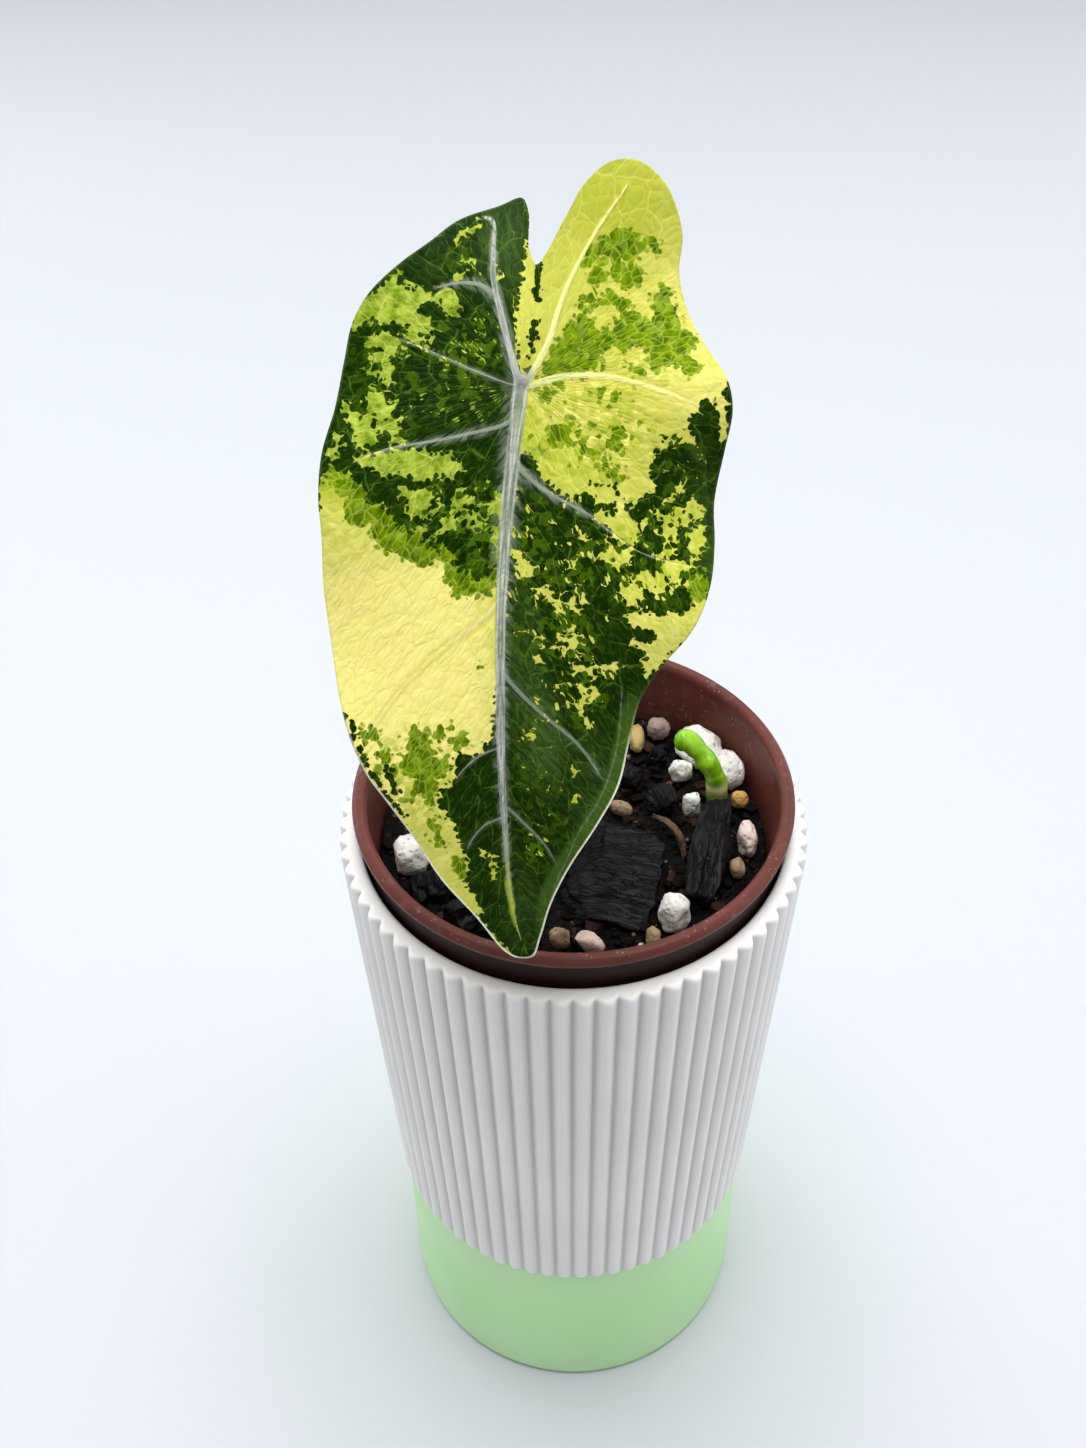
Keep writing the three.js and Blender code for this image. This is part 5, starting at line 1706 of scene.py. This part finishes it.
@dataclass
class LeafBlade:
    """The blade: a thin waved sheet on rays from the junction, over its own flat coordinates."""

    junction: Place = (-8.3, -16.0, 280.1)
    length: float = 98.0
    lobe_reach: float = 30.0
    slope_start: float = 50.0
    slope_tip: float = 76.0
    slope_lobes: float = 46.0
    sway: float = -4.0
    sway_length: float = 95.0
    thickness: float = 0.7
    columns: int = 520
    rings_above: int = 120
    rings_below: int = 58
    stalk: Petiole = field(default_factory=Petiole)
    markings: LeafMarkings = field(default_factory=LeafMarkings)
    margin: Flat = (
        (0.5, -29), (-3, -27.5), (-9, -25), (-13.5, -21.5), (-18.5, -18), (-23, -14), (-25.5, -10), (-27, -4),
        (-28.5, 3), (-30.5, 9.5), (-31.2, 16), (-31, 22), (-31.2, 31), (-30.5, 39), (-29.6, 47), (-28, 54), (-25.5, 60),
        (-22.9, 64), (-18.6, 71), (-14.7, 78.5), (-9.2, 86), (-4.6, 93.2), (-2.4, 94.8), (0, 94.8), (1.4, 90.7),
        (3.2, 84), (6.2, 77), (11, 68.8), (14.3, 62.5), (16, 55.5), (17.8, 48.5), (21.4, 43), (26, 37.5), (28.7, 31),
        (29.6, 24.5), (29.6, 18), (31, 10), (32, 4), (31, -1), (28, -5.7), (25.4, -11.2), (24.2, -17), (24.7, -22.5),
        (22, -29.3), (18, -32.5), (14, -32.4), (10, -29.3), (6.9, -24.3), (2.6, -17.9), (1.5, -21), (1.6, -26),
    )
    veins: tuple[Vein, ...] = (
        Vein(
            ((0, -0.5), (-1.1, 8), (-2.6, 20), (-3.8, 35), (-4.2, 47.5), (-4.3, 60), (-4, 70), (-3.6, 80),
             (-2.9, 86.5), (-1.9, 91)),
            (1.25, 0.06), (1.5, 0.45), True,
        ),
        Vein(
            ((0, 1), (-1.6, -5.2), (-3, -11.2), (-3.9, -16), (-3.8, -21), (-3.9, -25), (-5.4, -25.6)),
            (0.68, 0.16), (1.1, 0.4), True,
        ),
        Vein(
            ((0, 1), (2.1, -2.4), (4.2, -6.2), (5.8, -11), (7.8, -15.7), (11.8, -22.6), (16.5, -29)),
            (0.6, 0.14), (1.1, 0.4), True,
        ),
        Vein(((0, 0.4), (6.5, -1), (13, -0.8), (21.9, 1.7), (28, 4.2)), (0.62, 0.2), (0.8, 0.35)),
        Vein(((0, 0.4), (-4, -0.9), (-8, -2.6), (-12, -4.4), (-15.8, -6.1), (-20, -7.8)), (0.17, 0.08), (0.7, 0.35)),
        Vein(((-4, -13.6), (-5.6, -14.8), (-8, -15.2), (-10.5, -15), (-13.5, -14.2)), (0.45, 0.12), (0.6, 0.3)),
        Vein(((-0.6, 4.6), (-3, 6), (-6.9, 7), (-13.6, 8.3), (-20.3, 9.3), (-26.5, 11.5)), (0.38, 0.12), (0.8, 0.35)),
        Vein(((-1.4, 11), (0, 13), (1.8, 14.7), (5, 16.9), (9.6, 19.4), (12, 21)), (0.5, 0.14), (0.8, 0.45)),
        Vein(((10.4, 20), (16.4, 24.7), (20, 26.4), (26, 28)), (0.1, 0.05), (0.45, 0.3)),
        Vein(((-3.7, 32.5), (-7.6, 36), (-12.2, 39.2), (-17, 43.4), (-22, 49), (-26, 55)), (0.4, 0.16), (0.8, 0.35)),
        Vein(((-4.2, 42), (-2.9, 45), (3, 51), (7.5, 55), (10.6, 59.5), (12.6, 63)), (0.42, 0.14), (0.8, 0.35)),
        Vein(((-4.6, 56), (-8, 57.4), (-10, 59), (-12, 61.4)), (0.22, 0.12), (0.6, 0.3)),
        Vein(((-4.3, 68), (-7, 69), (-9, 71), (-10.4, 73.6)), (0.22, 0.12), (0.5, 0.3)),
        Vein(((-3.9, 66), (-1, 69), (2.5, 73), (4.6, 77.5)), (0.24, 0.12), (0.6, 0.3)),
        Vein(
            ((14.8, 47), (14.2, 55), (13, 60), (11, 65), (8, 70), (6, 75), (4, 80), (2.4, 86), (1, 92)),
            (0.09, 0.05), (0.3, 0.2),
        ),
    )

    def midrib(self, along: Array) -> Array:
        """How far across the midrib lies: -4 sin(pi s / 95)."""
        return self.sway * np.sin(np.pi * np.clip(along, 0, self.sway_length) / self.sway_length)

    def height(self, across: Array, along: Array) -> Array:
        """Height of the sheet: a groove at the midrib, arched halves, waved margins and curled lobes.

        With f the distance from the midrib, it is 0.26 (root(f^2 + 1.5^2) - 1.5) - 0.0105 f^2, plus on the
        right 2.2 e sin(2 pi (s + 6) / 34) + 0.002 l, and on the left 1.5 e sin(2 pi (s - 4) / 46) - 0.01 l,
        where e = min(|x| / 30, 1.4)^2 and l is the square of how far s is past 12 up the lobes.

        Args:
            across: Distance across, x.
            along: Distance along, s.

        Returns:
            The height.
        """
        f = across - np.where(along <= 0, 0, self.midrib(along))
        edge = np.minimum(np.abs(across) / 30, 1.4) ** 2
        lobe = np.maximum(-along - 12, 0) ** 2
        right = 0.5 * (1 + np.tanh((across - 2.2) / 1.2))
        arch = 0.26 * (np.hypot(f, 1.5) - 1.5) - 0.0105 * f * f
        on_right = edge * 2.2 * np.sin(2 * np.pi * (along + 6) / 34) + lobe * 0.002
        on_left = edge * 1.5 * np.sin(2 * np.pi * (along - 4) / 46) - lobe * 0.01
        return arch + right * on_right + (1 - right) * on_left

    def place(self, plan: Array, depth: Array) -> Array:
        """Where flat coordinates lie on the curved sheet.

        The centre line bends evenly, so with slope a + b s it runs by -(sin - sin a) / b in y and
        (cos - cos a) / b in z, and the sheet stands off it by its height less the depth.

        Args:
            plan: Places as (across, along), shape (n, 2).
            depth: How far below the upper face, shape (n,).

        Returns:
            The points, shape (n, 3).
        """
        across, along = plan[:, 0], plan[:, 1]
        start = math.radians(self.slope_start)
        forward = math.radians(self.slope_tip - self.slope_start) / self.length
        backward = math.radians(self.slope_start - self.slope_lobes) / self.lobe_reach
        bend = np.where(along >= 0, forward, backward)
        slope = start + bend * along
        rise = self.height(across, along) - depth
        y = -(np.sin(slope) - math.sin(start)) / bend - np.sin(slope) * rise
        z = (np.cos(slope) - math.cos(start)) / bend + np.cos(slope) * rise
        return np.stack([across, y, z], -1) + np.array(self.junction)

    def rib_fields(self, plan: Array) -> tuple[Array, Array, Array, Array]:
        """Distances to the veins.

        The side veins are thinner than the mesh is fine, so their distance has a sign that tells the side
        and is right where it passes through zero. A gate closes it off away from the vein.

        Args:
            plan: Places as (across, along), shape (n, 2).

        Returns:
            Distance to the main veins in half widths, signed distance to the side veins in half widths, the
            gate from 0 to 1, and how deep the veins make the underside: 0.35 + 0.9 r + root(r^2 - d^2)
            within the radius r of a vein, otherwise 0.
        """
        main, nearest = np.full(len(plan), 9.0), np.full(len(plan), 99.0)
        side, gate, below = np.full(len(plan), 9.0), np.zeros(len(plan)), np.zeros(len(plan))
        for vein in self.veins:
            near, signed, share = to_line(plan, smooth_curve(vein.line, 48))
            wide = vein.half[0] + (vein.half[1] - vein.half[0]) * share
            if vein.main:
                main = np.minimum(main, near / wide)
            else:
                closer = near < nearest
                nearest = np.where(closer, near, nearest)
                side = np.where(closer, signed / wide, side)
                gate = np.where(closer, ease(-near, -2.6, -1.7) * ease(-share, -1.0, -0.8), gate)
            r = vein.below[0] + (vein.below[1] - vein.below[0]) * share
            deep = 0.35 + 0.9 * r + np.sqrt(np.maximum(r * r - near * near, 0))
            below = np.maximum(below, np.where(near < r, deep, 0))
        return main, side, gate, below

    def vein_run(self, plan: Array) -> Array:
        """Coordinates along and across the small veins, which leave the midrib at 45 degrees.

        With a the distance from the midrib, a place is on the vein that left it at s - a. Above the first
        vein they fan out from the junction, and there the angle stands for the distance across.

        Args:
            plan: Places as (across, along), shape (n, 2).

        Returns:
            Along, across, and which half of the blade, shape (n, 3).
        """
        x, along = plan[:, 0], plan[:, 1]
        notch = 2.0 * ease(-along, 0, 8)
        middle = np.where(along > 0, self.midrib(along), notch)
        a = np.abs(x - middle)
        fan = along < a
        run = np.where(fan, np.hypot(a, along), a * math.sqrt(2))
        over = np.where(fan, -(np.arctan2(a, along) - np.pi / 4) * 22, (along - a) / math.sqrt(2))
        return np.stack([run, over, np.where(x > middle, 40.0, 0.0)], -1)

    def sheet(self) -> tuple[Form, dict[str, Array], Array]:
        """The blade as a closed form.

        Returns:
            The form, the numbers kept on its points, and which face of the leaf each mesh face is on.
        """
        edge = smooth_curve(self.margin, self.columns, True)[::-1]
        reach = np.linalg.norm(edge, axis=1, keepdims=True)
        edge = edge * (1 - 0.02 / reach)
        shares_above = np.linspace(0, 1, self.rings_above + 1)[1:]
        shares_below = np.linspace(1, 0, self.rings_below + 1)[:-1]
        above = (shares_above[:, None, None] * edge[None]).reshape(-1, 2)
        rim = edge * (1 + 0.1 / reach)
        below = (shares_below[:, None, None] * edge[None]).reshape(-1, 2)
        plan = np.vstack([above, rim, below, [[0, 0]], [[0, 0]]])
        main, side, gate, deep = self.rib_fields(plan)
        count_above, count_rim, count_below = len(above), len(rim), len(below)
        to_edge = np.abs(inside(plan, smooth_curve(self.margin, 260, True)))
        raised = 0.3 * np.exp(-((main / 1.1) ** 2)) + 0.08 * gate * np.exp(-(side**2))
        depth = -raised * np.minimum(to_edge / 2, 1)
        depth[count_above : count_above + count_rim] = 0.22
        under = slice(count_above + count_rim, count_above + count_rim + count_below)
        thin = 0.42 + (self.thickness - 0.42) * ease(to_edge, 0, 2.5)
        depth[under] = np.maximum(thin, deep)[under]
        depth[-1] = max(self.thickness, deep[-1])
        points = self.place(plan, depth)
        centre = len(plan) - 2
        bands = self.rings_above + 1 + self.rings_below
        faces = [
            fan(centre, 0, self.columns, False)[:, [0, 2, 1]],
            wrapped(bands, self.columns),
            fan(centre + 1, count_above + count_rim + count_below - self.columns, self.columns, False),
        ]
        fields = self.markings.fields(plan)
        fields["plan"] = np.column_stack([plan, to_edge])
        fields["ribs"] = np.stack([main, side, gate], -1)
        fields["run"] = self.vein_run(plan)
        under_band = np.repeat(np.arange(bands - 1) >= self.rings_above, self.columns)
        choice = np.concatenate([np.zeros(self.columns), under_band, np.ones(self.columns)])
        return Form(points, faces), fields, choice

    def build(self) -> None:
        """Makes and dresses the blade and the short stub of stalk that belongs to it."""
        upper = VariegatedLeaf().build()
        lower = VariegatedLeaf(name="leaf_under", pale=0.35, rough=0.5).build()
        form, fields, choice = self.sheet()
        made = piece("variegated_blade", form, [upper, lower], fields, choice, sharp=70)
        stands_for(made, "leaf", "leaf_blade")
        path = self.stalk.path(240)[round(240 * self.stalk.share) + 1 :]
        skin = GreenStalk("stub", tone(150, 172, 96), tone(182, 196, 126), tone(206, 208, 150)).build()
        stub = carried(path, np.linspace(self.stalk.top_radius, 1.75, len(path)), 40, (1, 0, 0))
        stands_for(piece("blade_stub", stub, [skin], {"patch": np.zeros(len(stub.points))}), "leaf")


# The studio


@dataclass
class Softbox:
    """A square area light that looks at a point."""

    name: str
    at: Place
    aim: Place
    size: float
    power: float
    colour: Place = (1.0, 1.0, 1.0)

    def build(self) -> None:
        """Makes the light: its own Z axis points away from what it looks at."""
        lamp = bpy.data.lights.new(self.name, "AREA")
        lamp.shape, lamp.size, lamp.energy, lamp.color = "SQUARE", self.size, self.power, self.colour
        made = bpy.data.objects.new(self.name, lamp)
        away = np.array(self.at) - np.array(self.aim)
        away /= np.linalg.norm(away)
        side = np.cross([0.01, 1, 0], away)
        side /= np.linalg.norm(side)
        up = np.cross(away, side)
        turn = Matrix([[*row] for row in np.stack([side, up, away], -1).tolist()]).to_4x4()
        made.matrix_world = Matrix.Translation(self.at) @ turn
        bpy.context.scene.collection.objects.link(made)


@dataclass
class Studio:
    """A pale floor, a pale sky and soft lights."""

    floor_half: float = 4.0
    sky: Place = (0.96, 0.98, 1.0)
    sky_strength: float = 0.39
    boxes: tuple[Softbox, ...] = (
        Softbox("top_light", (0, 0, 1.3), (0, 0, 0.1), 0.9, 17.5),
        Softbox("back_light", (0, 0.9, 1.0), (0, 0, 0.15), 0.9, 3.5),
        Softbox("left_light", (-0.95, -0.05, 0.5), (0, 0, 0.15), 0.8, 1.2),
        Softbox("right_light", (0.95, -0.05, 0.5), (0, 0, 0.15), 0.8, 2.4),
        Softbox("left_back_light", (-0.8, 0.7, 0.5), (0, 0, 0.15), 0.7, 3.5),
        Softbox("right_back_light", (0.8, 0.7, 0.5), (0, 0, 0.15), 0.7, 2.0),
    )

    def build(self) -> None:
        """Makes the floor, the sky and the lights."""
        h = self.floor_half / MM
        corners = np.array([[-h, -h, 0], [h, -h, 0], [h, h, 0], [-h, h, 0]], float)
        board = Board("studio_floor")
        soft = board.noise(board.place(), 0.8, 2)
        colour = board.blend(board.step(soft, 0.3, 0.7), tone(190, 194, 200), tone(192, 196, 201))
        floor = piece("studio_floor", Form(corners, [np.array([[0, 1, 2, 3]])]), [board.finish(colour, 0.7)])
        world = bpy.data.worlds.new("studio_sky")
        world.use_nodes = True
        sky = world.node_tree.nodes["Background"]
        sky.inputs[0].default_value = (*self.sky, 1.0)
        sky.inputs[1].default_value = self.sky_strength
        bpy.context.scene.world = world
        bpy.context.scene.view_settings.view_transform = "Standard"
        for box in self.boxes:
            box.build()


@dataclass
class Viewpoint:
    """The camera of the photograph, as its place and its three axes."""

    at: Place = (-0.0059, -0.2244, 0.4075)
    right: Place = (0.9998, -0.012, -0.0126)
    up: Place = (0.0174, 0.6891, 0.7245)
    back: Place = (0.0, -0.7246, 0.6892)
    lens: float = 39.26

    def build(self) -> None:
        """Makes the camera: the axes are the columns of its matrix."""
        camera = bpy.data.cameras.new("viewpoint")
        camera.lens, camera.sensor_width, camera.sensor_fit = self.lens, 36.0, "AUTO"
        made = bpy.data.objects.new("viewpoint", camera)
        axes = np.stack([self.right, self.up, self.back], -1)
        made.matrix_world = Matrix.Translation(self.at) @ Matrix(axes.tolist()).to_4x4()
        bpy.context.scene.collection.objects.link(made)
        bpy.context.scene.camera = made


# Sizes and places of what is bedded in the mix, as (place, half sizes, turn, tilt, seed, taper)

CHARCOALS = [
    Lump((8.2, -12.2, 162.6), (9.4, 13.4, 4), -14, 3, 11, 0.14, True),
    Lump((27.8, -7.8, 164.6), (4.1, 13.8, 4.2), -14, 5, 24, 0.05),
    Lump((19, 7, 163.6), (3.5, 3.4, 3.8), 20, 0, 32),
    Lump((12.8, 14.2, 163.2), (3.5, 3.3, 3.6), -20, 0, 46),
    Lump((18.6, 21, 163.2), (2.8, 2.6, 3), 15, 0, 59),
    Lump((-29.6, -15.4, 163.4), (4, 3.6, 3.4), 15, 0, 53),
    Lump((-22.4, -22.4, 163.6), (4.4, 4, 3.8), -38, 0, 67),
    Lump((-16.4, 19.4, 163), (7.2, 4.4, 3.8), 28, 0, 79),
    Lump((-20, -4, 162.8), (4.6, 5, 3.2), -30, 0, 88),
    Lump((3, 25.6, 163), (5.2, 3.6, 3.6), 10, 0, 94),
]
PUMICES = [
    Lump((28, 22.9, 164.4), (5.4, 4.4, 4.4), -40, 0, 15, twin=Lump((33.0, 16.1, 164.4), (5, 3.9, 4.2), -62, 0, 29)),
    Lump((23.8, 16.4, 163.6), (2.6, 2.3, 2.6), 0, 0, 22),
    Lump((25.3, 5.6, 164.6), (2.1, 1.9, 3.1), 0, 0, 31),
    Lump((36, -4.2, 164.2), (2.1, 3.8, 3.6), 0, 0, 44),
    Lump((19.6, -23.4, 164), (3.3, 3.4, 4.2), 0, 0, 58),
    Lump((-33.6, -6.8, 164), (3.8, 4, 4.3), 0, 0, 61),
    Lump((-31.6, 12, 163.2), (4.4, 3.6, 3.4), 30, 0, 72),
    Lump((-3.6, 33.6, 163), (3.8, 3, 3.2), 0, 0, 85),
    Lump((-26, 27, 162.8), (3.2, 3.2, 2.8), 0, 0, 93),
    Lump((-10.6, -11.4, 162.6), (3.6, 3, 2.8), -30, 0, 104),
    Lump((10.6, 34, 162.8), (3.2, 2.6, 2.8), -20, 0, 116),
]
PEBBLES = [
    Lump((14.8, 27.4, 163.2), (1.8, 3.8, 2.3), 0, 0, 13),
    Lump((19.8, 29.6, 163.8), (2.5, 2.3, 2.5), 0, 0, 26),
    Lump((35.6, 7.4, 163.8), (1.8, 1.8, 1.9), 0, 0, 35),
    Lump((-3.4, -29, 163.8), (2.1, 1.9, 2.2), 0, 0, 41),
    Lump((2.4, -30.4, 163.8), (3.1, 1.7, 2.1), -32, 0, 55),
    Lump((15, -29, 163.4), (1.5, 1.9, 2), 0, 0, 66),
    Lump((33.2, -11.6, 163.6), (1.6, 2, 2), 0, 0, 74),
    Lump((-30, 19.4, 162.4), (2, 2.4, 2), 0, 0, 81),
    Lump((-24.6, 4.4, 162.4), (2.4, 2, 2), 0, 0, 97),
    Lump((-14.6, 31.6, 162.4), (2.4, 2.2, 2), 0, 0, 102),
    Lump((-12, -21.4, 162.6), (2, 2, 2), 0, 0, 118),
    Lump((10.4, 7, 162.2), (2.6, 1.5, 1.8), -25, 0, 125),
    Lump((26.8, -27.4, 162.8), (2.2, 1.8, 1.9), 30, 0, 133),
]


def main() -> None:
    """Builds the camera, the studio and every part of the plant in order."""
    logging.basicConfig(level=logging.INFO, format="%(message)s")
    Viewpoint().build()
    Studio().build()
    BaseCup().build()
    RibbedSleeve().build()
    pot = NurseryPot()
    pot.build()
    PottingMix(pot).build()
    CharcoalPieces(CHARCOALS).build()
    chalk = Grit("pumice", tone(226, 223, 218), tone(158, 146, 130))
    rosy = Grit("pumice_4", tone(216, 196, 188), tone(158, 128, 116))
    BeddedStones(StoneKind.PUMICE, "pumice", "pumice", PUMICES, [chalk, rosy]).build()
    tans = [
        Grit("pebble", tone(150, 126, 96), tone(88, 68, 48)),
        Grit("pebble_1", tone(178, 152, 92), tone(112, 88, 52)),
        Grit("pebble_2", tone(150, 128, 120), tone(100, 80, 74)),
        Grit("pebble_3", tone(188, 148, 72), tone(120, 86, 40)),
        Grit("pebble_5", tone(206, 184, 172), tone(136, 108, 92)),
    ]
    BeddedStones(StoneKind.PEBBLE, "pebble", "pebble", PEBBLES, tans).build()
    BarkSliver().build()
    Rootstock().build()
    Petiole().build()
    NewShoot().build()
    LeafBlade().build()


if __name__ == "__main__":
    main()
